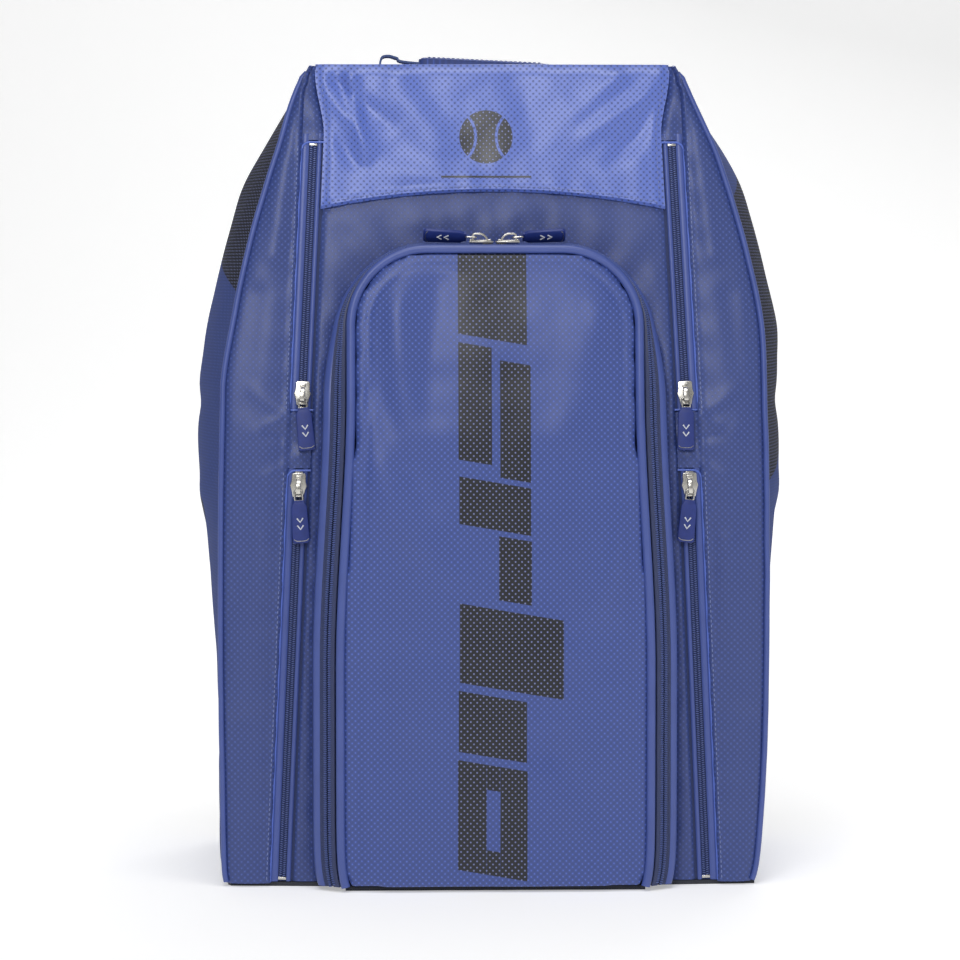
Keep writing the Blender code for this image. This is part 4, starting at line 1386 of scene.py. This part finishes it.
# ---- padded flap ----
FLAP_FOLDS = (
    (-0.094, 0.300, -0.040, 0.235, 0.016, 0.0030),
    (-0.090, 0.360, -0.045, 0.290, 0.015, -0.0026),
    (-0.074, 0.440, -0.066, 0.330, 0.014, 0.0030),
    (-0.040, 0.440, -0.050, 0.350, 0.013, -0.0016),
    (0.080, 0.420, 0.050, 0.330, 0.017, 0.0020),
    (0.098, 0.260, 0.055, 0.180, 0.018, 0.0020),
    (-0.098, 0.160, -0.060, 0.080, 0.018, -0.0020),
    (0.040, 0.100, 0.090, 0.040, 0.016, -0.0016),
)


def flap_inset(x, z):
    """Distance in from the flap's piping."""
    corner_z = FLAP_TOP - FLAP_CORNER_R
    corner_x = FLAP_HALF - FLAP_CORNER_R
    if z > corner_z and abs(x) > corner_x:
        return FLAP_CORNER_R - math.hypot(abs(x) - corner_x, z - corner_z)
    if z > corner_z:
        return FLAP_TOP - z
    return flap_half(z) - abs(x)


def swell(obj, voxel, pressure, cap, held):
    """Remeshes a padded piece, lets air pressure swell it and limits how far each point moves."""
    remesh = obj.modifiers.new("even_mesh", "REMESH")
    remesh.mode = "VOXEL"
    remesh.voxel_size = voxel
    settle(obj)
    rest = [vert.co.copy() for vert in obj.data.vertices]
    group = obj.vertex_groups.new(name="held")
    for index, point in enumerate(rest):
        group.add([index], held(point), "REPLACE")
    cloth = obj.modifiers.new("cloth", "CLOTH")
    cloth.settings.use_pressure = True
    cloth.settings.uniform_pressure_force = pressure
    cloth.settings.effector_weights.gravity = 0.0
    cloth.settings.vertex_group_mass = "held"
    cloth.point_cache.frame_end = 20
    for number in range(1, 21):
        bpy.context.scene.frame_set(number)
    settle(obj)
    for vert, start in zip(obj.data.vertices, rest):
        moved = vert.co - start
        if moved.length > cap:
            vert.co = start + moved * (cap / moved.length)
    bpy.context.scene.frame_set(1)
    subdivision = obj.modifiers.new("smooth", "SUBSURF")
    subdivision.levels = 1
    subdivision.render_levels = 1
    settle(obj)


class RACKETBAG_OT_flap(bpy.types.Operator):
    """Pad the front flap and print its blocks"""

    bl_idname = "racket_bag.flap"
    bl_label = "Padded flap"

    def execute(self, context):
        top = FLAP_TOP - 0.0016
        inset = 0.0016
        corner_z = FLAP_TOP - FLAP_CORNER_R
        inner_r = FLAP_CORNER_R - inset

        def place(u, v):
            z = BASE_Z + 0.0006 + (top - BASE_Z - 0.0006) * v
            if z > corner_z:
                rise = min(inner_r, z - corner_z)
                half = FLAP_HALF - FLAP_CORNER_R + math.sqrt(inner_r**2 - rise**2)
            else:
                half = flap_half(z) - inset
            x = (2 * u - 1) * half
            deep = clamp(flap_inset(x, z) / 0.045)
            crown = (FLAP_CROWN - 0.0035) * math.sin(math.pi / 2 * deep)
            return Vector((x, front_y(z) - FLAP_PROUD - 0.0010 - crown, z))

        leather = embossed_leather("flap_leather", "x", "z", flap_print, contrast=1.5)
        obj = panel("flap_cushion", 60, 120, place, leather, wall=0.0085)

        def held(point):
            return 1.0 if flap_inset(point.x, point.z) < 0.006 or point.z < BASE_Z + 0.004 else 0.0

        swell(obj, 0.0045, 4.0, sizes().flap_puff, held)
        facing = [vert.normal.y for vert in obj.data.vertices]
        for vert, turned in zip(obj.data.vertices, facing):
            x, z = vert.co.x, vert.co.z
            if turned < -0.2:
                deep = flap_inset(x, z)
                calm = smooth((deep - 0.004) / 0.03)
                hem = -0.0009 * math.exp(-((deep - 0.0125) / 0.0022) ** 2)
                soft = waviness(x, 0.0, z, 0.055) * 0.0014 + waviness(x, 2.0, z, 0.020) * 0.0004
                vert.co.y -= calm * (1.7 * folds(x, z, FLAP_FOLDS) + soft) + hem
            vert.co.z = max(vert.co.z, 0.0012)
        dress(obj, "flap", "padded", "flap_panel", angle=60)
        return {"FINISHED"}


# ---- corner piping ----
class RACKETBAG_OT_corner_piping(bpy.types.Operator):
    """Run the piping along the four upright corner seams"""

    bl_idname = "racket_bag.corner_piping"
    bl_label = "Corner piping"

    def execute(self, context):
        for label, side in (("left", -1), ("right", 1)):
            for place in ("front", "back"):
                self.add_piping(label, side, place == "back")
        return {"FINISHED"}

    def add_piping(self, label, side, back):
        points = []
        for z in steps(BASE_Z, OUTER_TOP_Z, 150):
            half = body_half(z) - (BACK_NARROWER if back else 0.0)
            wobble = 0.0003 * waviness(0.0, side * 2.0, z, 0.03)
            y = BACK_Y if back else front_y(z) - 0.0006
            points.append(Vector((side * (half + wobble) + sway(z), y, z)))
        name = ("back" if back else "front") + "_piping_" + label
        mesh = tube_mesh(points, PIPING_R, sides=3)
        obj = shown(name + "_cord", mesh, piping_finish())
        dress(obj, "bag", "trim", name, angle=70)


# ---- side zips ----
def zip_track(side, span):
    points = []
    for z in steps(span[0], span[1], 40):
        points.append(Vector((side * zip_x(z), front_y(z) + CLOTH / 2, z)))
    return Track(points, FRONT)


class RACKETBAG_OT_side_zips(bpy.types.Operator):
    """Sew in the four side zips with their tapes, coils, welts and end stops"""

    bl_idname = "racket_bag.side_zips"
    bl_label = "Side zips"

    def execute(self, context):
        for label, side in (("left", -1), ("right", 1)):
            for level, span in (("upper", UPPER_ZIP), ("lower", LOWER_ZIP)):
                self.add_zip(f"{level}_zip_{label}", side, span)
        return {"FINISHED"}

    def add_zip(self, name, side, span):
        low = span[0] - (0.0 if span is LOWER_ZIP else 0.006)
        high = span[1] + 0.006
        for part, near, far, lift, crown, material in (
            ("tape", -0.0104, 0.0104, -0.0002, 0.0, tape_finish()),
            ("outer_band", 0.0030, 0.0084, 0.0006, 0.0009, piping_finish()),
            ("inner_band", -0.0062, -0.0030, 0.0004, 0.0008, piping_finish()),
        ):

            def place(u, v, near=near, far=far, lift=lift, crown=crown):
                z = low + (high - low) * v
                reach = near + (far - near) * (u if side > 0 else 1 - u)
                rise = lift + crown * (4 * u * (1 - u)) ** 0.6
                x = side * (zip_x(z) + reach)
                return Vector((x, front_y(z) + CLOTH / 2 - rise, z))

            obj = panel(f"{name}_{part}", 6, 90, place, material, wall=0.0010)
            nodes = [name] if part == "tape" else []
            dress(obj, "bag", "tape" if part == "tape" else "trim", *nodes, angle=60)

        track = zip_track(side, (span[0] + 0.001, span[1] - 0.001))
        rows = []
        for reach in (-1, 1):
            shape = bead(0.00128, 0.00052, 0.00070)
            phase = sizes().tooth_pitch * (0.25 + 0.25 * reach)
            places = track.places(sizes().tooth_pitch, 0.0004, reach * 0.00135, phase, turn=reach * 0.3)
            rows.append(copies(shape, places))
        stops = []
        for distance in (0.0012, track.length - 0.0012):
            stop = box_mesh((-0.0030, -0.0010, -0.0004), (0.0030, 0.0010, 0.0012), 0.0004)
            stop.transform(track.at(distance))
            stops.append((stop, 1))
        mesh = joined(*rows, *stops)
        dress(shown(name + "_coil", mesh, [coil_finish(), nickel_finish()]), "bag", "tape")
        self.add_welt(name, side, span)

    def add_welt(self, name, side, span):
        """A thin light cord round the window's outer edge and over its ends."""
        radius = 0.006
        edge = 0.0086
        low = span[0] + (0.0 if span is LOWER_ZIP else 0.0006)
        high = span[1] - 0.0004
        points = []
        if span is not LOWER_ZIP:
            for reach in steps(-0.0084, 0.0074, 6):
                points.append((reach, low))
        for z in steps(low, high - radius, 50):
            points.append((edge, z))
        for angle in steps(0, 90, 8)[1:]:
            turn = math.radians(angle)
            rise = high - radius + radius * math.sin(turn)
            points.append((edge - radius + radius * math.cos(turn), rise))
        for reach in steps(edge - radius, -0.0084, 4)[1:]:
            points.append((reach, high))
        line = []
        for reach, z in points:
            line.append(Vector((side * (zip_x(z) + reach), front_y(z) - 0.0006, z)))
        mesh = tube_mesh(line, 0.00085, sides=2)
        dress(shown(name + "_welt", mesh, welt_finish()), "bag", "trim", angle=70)


# ---- sliders and pulls ----
SLIDER_HALF_W = 0.0062
SLIDER_HALF_L = 0.00875
SLIDER_TOP = 0.0034
SLIDER_BOTTOM = -0.0030
BAIL_HALF_W = 0.0017
PULL_HINGE = (-0.0039, 0.0059)
LINK_WIRE_R = 0.0007
LINK_HALF_W = 0.0029
LINK_LENGTH = 0.0074
TAB_START = 0.0084
TAB_LENGTH = 0.0298
TAB_HALF_W = 0.00625
TAB_HALF_T = 0.0013
TAB_CORNER_R = 0.0024
POCKET_SLIDER_X = 0.0095
POCKET_PULL_TWIST = math.radians(42)
STANDING = frame_matrix(Vector((0, 1, 0)), Vector((0, 0, 1)), Vector((1, 0, 0)), Vector())


def slider_mesh():
    """Two waisted plates with a post between, and a bail over the top on two seats."""
    half, end = SLIDER_HALF_W, SLIDER_HALF_L
    outline = [
        (half * 0.62, -end),
        (half * 0.80, -end * 0.45),
        (half, -end * 0.05),
        (half * 0.84, end * 0.30),
        (half * 0.84, end * 0.88),
        (half * 0.66, end),
        (-half * 0.66, end),
        (-half * 0.84, end * 0.88),
        (-half * 0.84, end * 0.30),
        (-half, -end * 0.05),
        (-half * 0.80, -end * 0.45),
        (-half * 0.62, -end),
    ]
    top = plate_mesh([outline], 0.0016, 0.0005, Matrix.Translation((0, 0, SLIDER_TOP - 0.0008)))
    bottom = plate_mesh([outline], 0.0013, 0.0004, Matrix.Translation((0, 0, SLIDER_BOTTOM + 0.00065)))
    post_low = (-0.0007, 0.0010, SLIDER_BOTTOM + 0.0005)
    post = box_mesh(post_low, (0.0007, 0.0080, SLIDER_TOP - 0.0005), 0.0002)
    arch = [(-0.0068, 0.0028), (0.0050, 0.0028), (0.0048, 0.0050), (0.0036, 0.0068), (0.0020, 0.0083)]
    arch += [(-0.0004, 0.0092), (-0.0048, 0.0092), (-0.0062, 0.0086), (-0.0068, 0.0074)]
    hole = [(-0.0054, 0.0040), (0.0034, 0.0040), (0.0030, 0.0052), (0.0016, 0.0068)]
    hole += [(-0.0008, 0.0078), (-0.0046, 0.0078), (-0.0054, 0.0068)]
    bail = plate_mesh([arch, hole], 2 * BAIL_HALF_W, 0.0004, STANDING)
    seats = []
    for y in (0.0058, -0.0074):
        seats.append(box_mesh((-0.0023, y - 0.0012, 0.0030), (0.0023, y + 0.0012, 0.0046), 0.0005))
    return joined(top, bottom, post, bail, *seats)


def link_mesh():
    ring = rounded_rectangle(LINK_HALF_W, -LINK_LENGTH, 0.0, 0.0012, 3)
    return tube_mesh([(x, y, 0.0) for x, y in ring], LINK_WIRE_R, sides=2, closed=True)


def tab_mesh():
    """A rubber tab, wider at its end, with a raised chevron and a bright line across the end."""
    low, high = -TAB_START - TAB_LENGTH, -TAB_START
    outline = [(TAB_HALF_W * 0.62, high), (-TAB_HALF_W * 0.62, high), (-TAB_HALF_W * 0.90, high - 0.003)]
    for side, start in ((-1, 180), (1, 270)):
        for angle in steps(start, start + 90, 5):
            turn = math.radians(angle)
            x = side * (TAB_HALF_W - TAB_CORNER_R) + TAB_CORNER_R * math.cos(turn)
            outline.append((x, low + TAB_CORNER_R + TAB_CORNER_R * math.sin(turn)))
    outline.append((TAB_HALF_W * 0.90, high - 0.003))
    body = plate_mesh([outline], 2 * TAB_HALF_T, 0.0006)
    middle = (low + high) / 2 - 0.001
    parts = [body]
    for face in (-1, 1):
        lift = Matrix.Translation((0, 0, face * TAB_HALF_T))
        for rise in (-0.0026, 0.0026):
            points = [(-0.0022, middle + rise + 0.0018, 0), (0.0, middle + rise - 0.0012, 0)]
            points.append((0.0022, middle + rise + 0.0018, 0))
            parts.append((tube_mesh(points, 0.00055, sides=1, matrix=lift), 1))
        line = []
        for share in steps(-1, 1, 10):
            line.append((share * TAB_HALF_W * 0.86, low + 0.0016 + 0.0016 * share**4, 0))
        parts.append((tube_mesh(line, 0.00030, sides=1, matrix=lift), 2))
    socket = box_mesh((-0.0040, high - 0.0010, -0.0010), (0.0040, high + 0.0014, 0.0010), 0.0005)
    parts.append(socket)
    return joined(*parts)


class RACKETBAG_OT_sliders(bpy.types.Operator):
    """Set the six sliders with their wire links and rubber tabs"""

    bl_idname = "racket_bag.sliders"
    bl_label = "Sliders and pulls"

    def execute(self, context):
        poses = (
            ("upper_left", -1, UPPER_ZIP, UPPER_SLIDER_Z, -4, 8),
            ("lower_left", -1, LOWER_ZIP, LOWER_SLIDER_Z, 0, 6),
            ("upper_right", 1, UPPER_ZIP, UPPER_SLIDER_Z, -4, -3),
            ("lower_right", 1, LOWER_ZIP, LOWER_SLIDER_Z, 0, -8),
        )
        for name, side, span, height, tilt, yaw in poses:
            ends = [Vector((side * zip_x(z), front_y(z) + CLOTH / 2, z)) for z in span]
            along = (ends[1] - ends[0]).normalized()
            outward = (FRONT - along * FRONT.dot(along)).normalized()
            origin = ends[0] + along * (height - ends[0].z) / along.z
            matrix = frame_matrix(along.cross(outward), along, outward, origin)
            self.add_slider(name, matrix, math.radians(tilt), math.radians(yaw), 0.0)
        for name, side in (("pocket_left", -1), ("pocket_right", 1)):
            station = (Vector((side * POCKET_SLIDER_X, 0, FLAP_TOP)), UP)
            along = Vector((-side, 0, 0))
            matrix = frame_matrix(along.cross(UP), along, UP, tape_point(station, 0.0))
            self.add_slider(name, matrix, math.radians(2.5), 0.0, side * POCKET_PULL_TWIST)
        return {"FINISHED"}

    def add_slider(self, name, matrix, tilt, yaw, twist):
        body = slider_mesh()
        body.transform(matrix)
        slider = shown(name + "_slider_cast", body, nickel_finish())
        dress(slider, name + "_slider", "metal", name + "_slider", angle=35)
        place = matrix @ Matrix.Translation((0, PULL_HINGE[0], PULL_HINGE[1]))
        place = place @ Matrix.Rotation(yaw, 4, "Z") @ Matrix.Rotation(-tilt, 4, "X")
        link = link_mesh()
        link.transform(place)
        wire = shown(name + "_link_wire", link, nickel_finish())
        dress(wire, name + "_pull", "metal", name + "_pull_link", angle=60)
        tab = tab_mesh()
        tab.transform(place @ Matrix.Rotation(twist, 4, "Y"))
        rubber = shown(name + "_tab_rubber", tab, [rubber_finish(), mark_finish(), nickel_finish()])
        dress(rubber, name + "_pull", "pull", name + "_pull_tab", angle=35)


# ---- carry handle ----
class RACKETBAG_OT_handle(bpy.types.Operator):
    """Add the handle's webbing, its padded grip and the sewn patches"""

    bl_idname = "racket_bag.handle"
    bl_label = "Carry handle"

    def execute(self, context):
        surface = TOP_Z - TOP_DIP + 0.0015
        self.add_webbing(surface + 0.0036)
        self.add_grip()
        for label, x in (("left", HANDLE_LEFT_X), ("right", HANDLE_RIGHT_X)):
            self.add_patch(label, x, surface)
        return {"FINISHED"}

    def grip_z(self, x):
        slope = (GRIP_Z[1] - GRIP_Z[0]) / (GRIP_X[1] - GRIP_X[0])
        return GRIP_Z[0] + slope * (x - GRIP_X[0])

    def add_webbing(self, foot):
        corners = [
            (HANDLE_LEFT_X + 0.010, foot - 0.0010),
            (HANDLE_LEFT_X - 0.006, foot),
            (HANDLE_LEFT_X - 0.001, foot + 0.007),
            (HANDLE_LEFT_X + 0.001, foot + 0.014),
            (HANDLE_LEFT_X + 0.006, 0.6090),
            (HANDLE_LEFT_X + 0.012, 0.6075),
            (GRIP_X[0] - 0.002, self.grip_z(GRIP_X[0] - 0.002)),
            (GRIP_X[1] + 0.002, self.grip_z(GRIP_X[1] + 0.002)),
            (HANDLE_RIGHT_X - 0.010, 0.5966),
            (HANDLE_RIGHT_X - 0.003, 0.5950),
            (HANDLE_RIGHT_X + 0.006, foot),
        ]
        path = smooth_path([Vector((x, HANDLE_Y, z)) for x, z in corners], 8)
        last = len(path) - 1

        def place(u, v):
            point = path[round(v * last)]
            return point + Vector((0, (1 - 2 * u) * WEBBING_HALF_W, 0.0004 * math.cos(math.pi * (u - 0.5))))

        blue = colours().webbing
        material = webbing_finish("handle_webbing_weave", "y", "x", tuple(blue))
        obj = panel("handle_webbing_ribbon", 12, last, place, material, wall=WEBBING_T, offset=0.0)
        obj.data.shade_smooth()
        obj.data.set_sharp_from_angle(angle=math.radians(50))
        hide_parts("handle_webbing")
        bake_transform(obj)

    def add_grip(self):
        low = Vector((GRIP_X[0], -0.0152, -0.0048))
        high = Vector((GRIP_X[1], 0.0152, 0.0048))
        mesh = box_mesh(low, high, 0.0040, cuts=9)
        leather = embossed_leather("grip_leather", "x", "y", contrast=1.0)
        obj = shown("handle_grip_pad", mesh, leather)
        subdivision = obj.modifiers.new("smooth", "SUBSURF")
        subdivision.levels = 2
        subdivision.render_levels = 2
        settle(obj)
        for vert in obj.data.vertices:
            x, y, z = vert.co
            share = clamp((x - GRIP_X[0]) / (GRIP_X[1] - GRIP_X[0]))
            waist = 0.90 + 0.10 * math.sin(math.pi * share) ** 0.5
            ripple = 1 + 0.03 * waviness(x, y * 0.4, 0.2, 0.009)
            vert.co = Vector((x, HANDLE_Y + y * waist, self.grip_z(x) + z * ripple * waist))
        dress(obj, "handle", "padded", "handle_grip", angle=70)
        rows = []
        for side in (-1, 1):
            line = []
            for x in steps(GRIP_X[0] + 0.006, GRIP_X[1] - 0.006, 30):
                line.append(Vector((x, HANDLE_Y + side * 0.0108, self.grip_z(x) + 0.0047)))
            rows.append(Track(line, UP))
        add_stitches("handle_grip_stitches", "handle", "padded", *rows)

    def add_patch(self, label, x, surface):
        low = (x - 0.014, HANDLE_Y - 0.016, surface)
        high = (x + 0.014, HANDLE_Y + 0.016, surface + 0.0021)
        obj = shown(f"handle_patch_{label}_leather", box_mesh(low, high, 0.0009), piping_finish())
        dress(obj, "bag", "trim", "handle_patch_" + label)
        z = surface + 0.0021
        a = [(x - 0.012, -0.014), (x + 0.012, -0.014), (x + 0.012, 0.014), (x - 0.012, 0.014)]
        corners = [Vector((px, HANDLE_Y + py, z)) for px, py in a]
        rows = []
        for start, end in ((0, 1), (1, 2), (2, 3), (3, 0), (0, 2), (1, 3)):
            rows.append(Track([corners[start], corners[end]], UP))
        add_stitches(f"handle_patch_{label}_stitches", "bag", "trim", *rows)


# ---- back pads and shoulder straps ----
PAD_X = (0.018, 0.128)
PAD_Z = (0.110, 0.500)
PAD_CHANNELS = (0.19, 0.27, 0.35, 0.43)
LOCK_GAP = 0.0022


def strap_line(z):
    share = (STRAP_HINGE[1] - z) / (STRAP_HINGE[1] - STRAP_LOW_Z)
    bow = STRAP_BOW * math.sin(math.pi * clamp(share))
    return STRAP_HINGE[0] + STRAP_T / 2 + bow, STRAP_TOP_X + (STRAP_LOW_X - STRAP_TOP_X) * smooth(share)


class RACKETBAG_OT_straps(bpy.types.Operator):
    """Add the back pads, the shoulder straps, their ladder locks and lower webbing"""

    bl_idname = "racket_bag.straps"
    bl_label = "Back pads and straps"

    def execute(self, context):
        for label, side in (("left", -1), ("right", 1)):
            self.add_pad(label, side)
            self.add_strap(label, side)
            self.add_lock(label, side)
            self.add_webbing(label, side)
        low = (-0.085, BACK_Y + GAP, 0.5540)
        high = (0.085, BACK_Y + 0.0048, 0.5800)
        patch = shown("strap_patch_cloth", box_mesh(low, high, 0.0012, cuts=3), lining_finish())
        dress(patch, "bag", "mesh", "strap_patch")
        z = 0.5572
        lines = []
        for height in (z, 0.5768):
            ends = [Vector((-0.082, BACK_Y + 0.0049, height)), Vector((0.082, BACK_Y + 0.0049, height))]
            lines.append(Track(ends, BACK))
        add_stitches("strap_patch_stitches", "bag", "mesh", *lines)
        return {"FINISHED"}

    def add_pad(self, label, side):
        inner, outer = PAD_X
        low, high = PAD_Z

        def place(u, v):
            across = u if side < 0 else 1 - u
            x = inner + (outer - inner) * across
            z = low + (high - low) * v
            edge = min(x - inner, outer - x, z - low, high - z)
            crown = 0.0030 * smooth(edge / 0.024)
            return Vector((side * x, BACK_Y + GAP + 0.0034 + crown, z))

        obj = panel(label + "_back_pad", 36, 100, place, mesh_finish(), wall=0.0030)

        def held(point):
            edge = min(abs(point.x) - inner, outer - abs(point.x), point.z - low, high - point.z)
            return 1.0 if edge < 0.006 else 0.0

        swell(obj, 0.0026, 3.0, sizes().pad_puff * 0.5, held)
        facing = [vert.normal.y for vert in obj.data.vertices]
        for vert, turned in zip(obj.data.vertices, facing):
            if turned > 0.2:
                for channel in PAD_CHANNELS:
                    away = vert.co.z - channel - 0.12 * (abs(vert.co.x) - inner)
                    vert.co.y -= 0.0022 * math.exp(-((away / 0.0035) ** 2))
            vert.co.y = max(vert.co.y, BACK_Y + GAP)
        dress(obj, "bag", "mesh", "back_pad_" + label, angle=60)
        self.add_binding(label, side, inner, outer, low, high)

    def add_binding(self, label, side, inner, outer, low, high):
        half = (outer - inner) / 2
        middle = Vector((side * (inner + outer) / 2, BACK_Y + 0.0022, 0))
        points = []
        for x, z in rounded_rectangle(half, low, high, 0.010, 6):
            points.append(middle + Vector((x, 0, z)))
        mesh = tube_mesh(points, 0.0016, sides=2, closed=True)
        dress(shown(label + "_back_pad_binding", mesh, piping_finish()), "bag", "trim", angle=70)

    def add_strap(self, label, side):
        def place(u, v):
            across = 1 - 2 * u
            z = STRAP_LOW_Z + (STRAP_HINGE[1] - STRAP_LOW_Z) * v
            depth, x = strap_line(z)
            half = STRAP_HALF_W * (0.75 + 0.25 * smooth((z - STRAP_LOW_Z) / 0.12))
            crown = 0.0016 * (1 - across**2) - 0.0012 * math.exp(-((abs(across) - 0.80) / 0.06) ** 2)
            ripple = 0.0004 * math.sin(z / 0.004) * across**6
            ripple += waviness(x + across * half, 0.0, z, 0.03) * 0.0006
            return Vector((side * x + across * half, depth - 0.0010 + crown + ripple, z))

        name = "shoulder_strap_" + label
        obj = panel(name + "_pad", 26, 120, place, mesh_finish(), wall=STRAP_T - 0.0010, rounding=0.0032)
        dress(obj, name, "mesh", name, angle=60)
        rows = []
        for edge in (0.10, 0.90):
            rows.append(Track([place(edge, v) for v in steps(0.01, 0.99, 100)], BACK))
        add_stitches(name + "_stitches", name, "mesh", *rows)

    def lock_place(self, side):
        top = Vector((side * STRAP_LOW_X, STRAP_HINGE[0], STRAP_LOW_Z - LOCK_GAP))
        return frame_matrix(Vector((-1, 0, 0)), UP, BACK, top)

    def add_lock(self, label, side):
        outlines = [rounded_rectangle(0.017, -0.034, 0.0, 0.004)]
        for low, high in ((-0.0065, -0.0035), (-0.0290, -0.0200)):
            outlines.append([(-0.013, low), (0.013, low), (0.013, high), (-0.013, high)])
        plate = plate_mesh(outlines, 0.0036, 0.0008, self.lock_place(side))
        ridges = []
        for y in (-0.0110, -0.0140, -0.0170):
            ridge = box_mesh((-0.012, y - 0.0006, 0.0012), (0.012, y + 0.0006, 0.0023), 0.0004)
            ridge.transform(self.lock_place(side))
            ridges.append(ridge)
        obj = shown(f"ladder_lock_{label}_moulded", joined(plate, *ridges), plastic_finish())
        dress(obj, "ladder_lock_" + label, "plastic", "ladder_lock_" + label)

    def add_webbing(self, label, side):
        top = Vector((side * STRAP_LOW_X, STRAP_HINGE[0], STRAP_LOW_Z - LOCK_GAP))
        start = top - Vector((0, 0, 0.0320))
        end = Vector((side * 0.125, BACK_Y + 0.0050, 0.044))
        split = 0.45
        material = webbing_finish("strap_webbing_weave", "x", "z", tuple(colours().padding))

        def ribbon(name, first, final, count):
            def place(u, v):
                share = first + (final - first) * v
                slack = Vector((0, 0.006 * math.sin(math.pi * share), 0))
                point = start.lerp(end, share) + slack
                return point + Vector(((2 * u - 1) * WEBBING_HALF_W, 0, 0))

            obj = panel(name, 10, count, place, material, wall=WEBBING_T, offset=0.0)
            obj.data.shade_smooth()
            obj.data.set_sharp_from_angle(angle=math.radians(50))
            return obj

        upper = ribbon(f"strap_webbing_{label}_upper", 0.0, split, 24)
        lower = ribbon(f"strap_webbing_{label}_lower", split - 0.03, 1.0, 40)
        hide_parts("strap_webbing_" + label)
        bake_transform(upper)
        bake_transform(lower)
        tab = [(-0.016, 0.026), (-0.028, 0.0), (0.028, 0.0), (0.016, 0.026)]
        spot = Vector((side * 0.128, BACK_Y + GAP + 0.0017, 0.022))
        mesh = plate_mesh([tab], 0.0030, 0.0006, frame_matrix(Vector((-1, 0, 0)), UP, BACK, spot))
        anchor = shown(f"strap_anchor_{label}_tab", mesh, material)
        dress(anchor, "bag", "webbing", "strap_anchor_" + label)
        line = [spot + Vector((x, 0.0015, 0.004)) for x in (-0.022, 0.022)]
        add_stitches(f"strap_anchor_{label}_stitches", "bag", "webbing", Track(line, BACK))


# ---- inside ----
class RACKETBAG_OT_inside(bpy.types.Operator):
    """Finish the dividers and the base board inside the bag"""

    bl_idname = "racket_bag.inside"
    bl_label = "Inside"

    def execute(self, context):
        for name, material in (
            ("left_divider", lining_finish()),
            ("right_divider", lining_finish()),
            ("base_board", plastic_finish()),
        ):
            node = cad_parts[name]
            for place in node.material_slots:
                place.material = material
        return {"FINISHED"}


class RACKETBAG_PT_pieces(bpy.types.Panel):
    """Sidebar panel with one button for each group of pieces"""

    bl_idname = "RACKETBAG_PT_pieces"
    bl_label = "Racket Bag"
    bl_space_type = "VIEW_3D"
    bl_region_type = "UI"
    bl_category = "Racket Bag"

    def draw(self, context):
        for operator in OPERATORS:
            self.layout.operator(operator.bl_idname)
        for group in (sizes(), colours()):
            for name in group.__annotations__:
                self.layout.prop(group, name)


OPERATORS = (
    RACKETBAG_OT_stage,
    RACKETBAG_OT_side_panels,
    RACKETBAG_OT_front_panels,
    RACKETBAG_OT_corner_piping,
    RACKETBAG_OT_pocket_zip,
    RACKETBAG_OT_flap,
    RACKETBAG_OT_side_zips,
    RACKETBAG_OT_sliders,
    RACKETBAG_OT_handle,
    RACKETBAG_OT_straps,
    RACKETBAG_OT_inside,
)
CLASSES = (RacketBagSizes, RacketBagColours, *OPERATORS, RACKETBAG_PT_pieces)


def register():
    for cls in CLASSES:
        bpy.utils.register_class(cls)
    bpy.types.Scene.racket_bag_sizes = bpy.props.PointerProperty(type=RacketBagSizes)
    bpy.types.Scene.racket_bag_colours = bpy.props.PointerProperty(type=RacketBagColours)


def unregister():
    del bpy.types.Scene.racket_bag_colours
    del bpy.types.Scene.racket_bag_sizes
    for cls in reversed(CLASSES):
        bpy.utils.unregister_class(cls)


def main():
    register()
    bpy.ops.racket_bag.stage()
    bpy.ops.racket_bag.side_panels()
    bpy.ops.racket_bag.front_panels()
    bpy.ops.racket_bag.corner_piping()
    bpy.ops.racket_bag.pocket_zip()
    bpy.ops.racket_bag.flap()
    bpy.ops.racket_bag.side_zips()
    bpy.ops.racket_bag.sliders()
    bpy.ops.racket_bag.handle()
    bpy.ops.racket_bag.straps()
    bpy.ops.racket_bag.inside()
    visual_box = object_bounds()
    cad, visual = ([list(corner) for corner in box] for box in (CAD_BOX, visual_box))


if __name__ == "__main__":
    main()
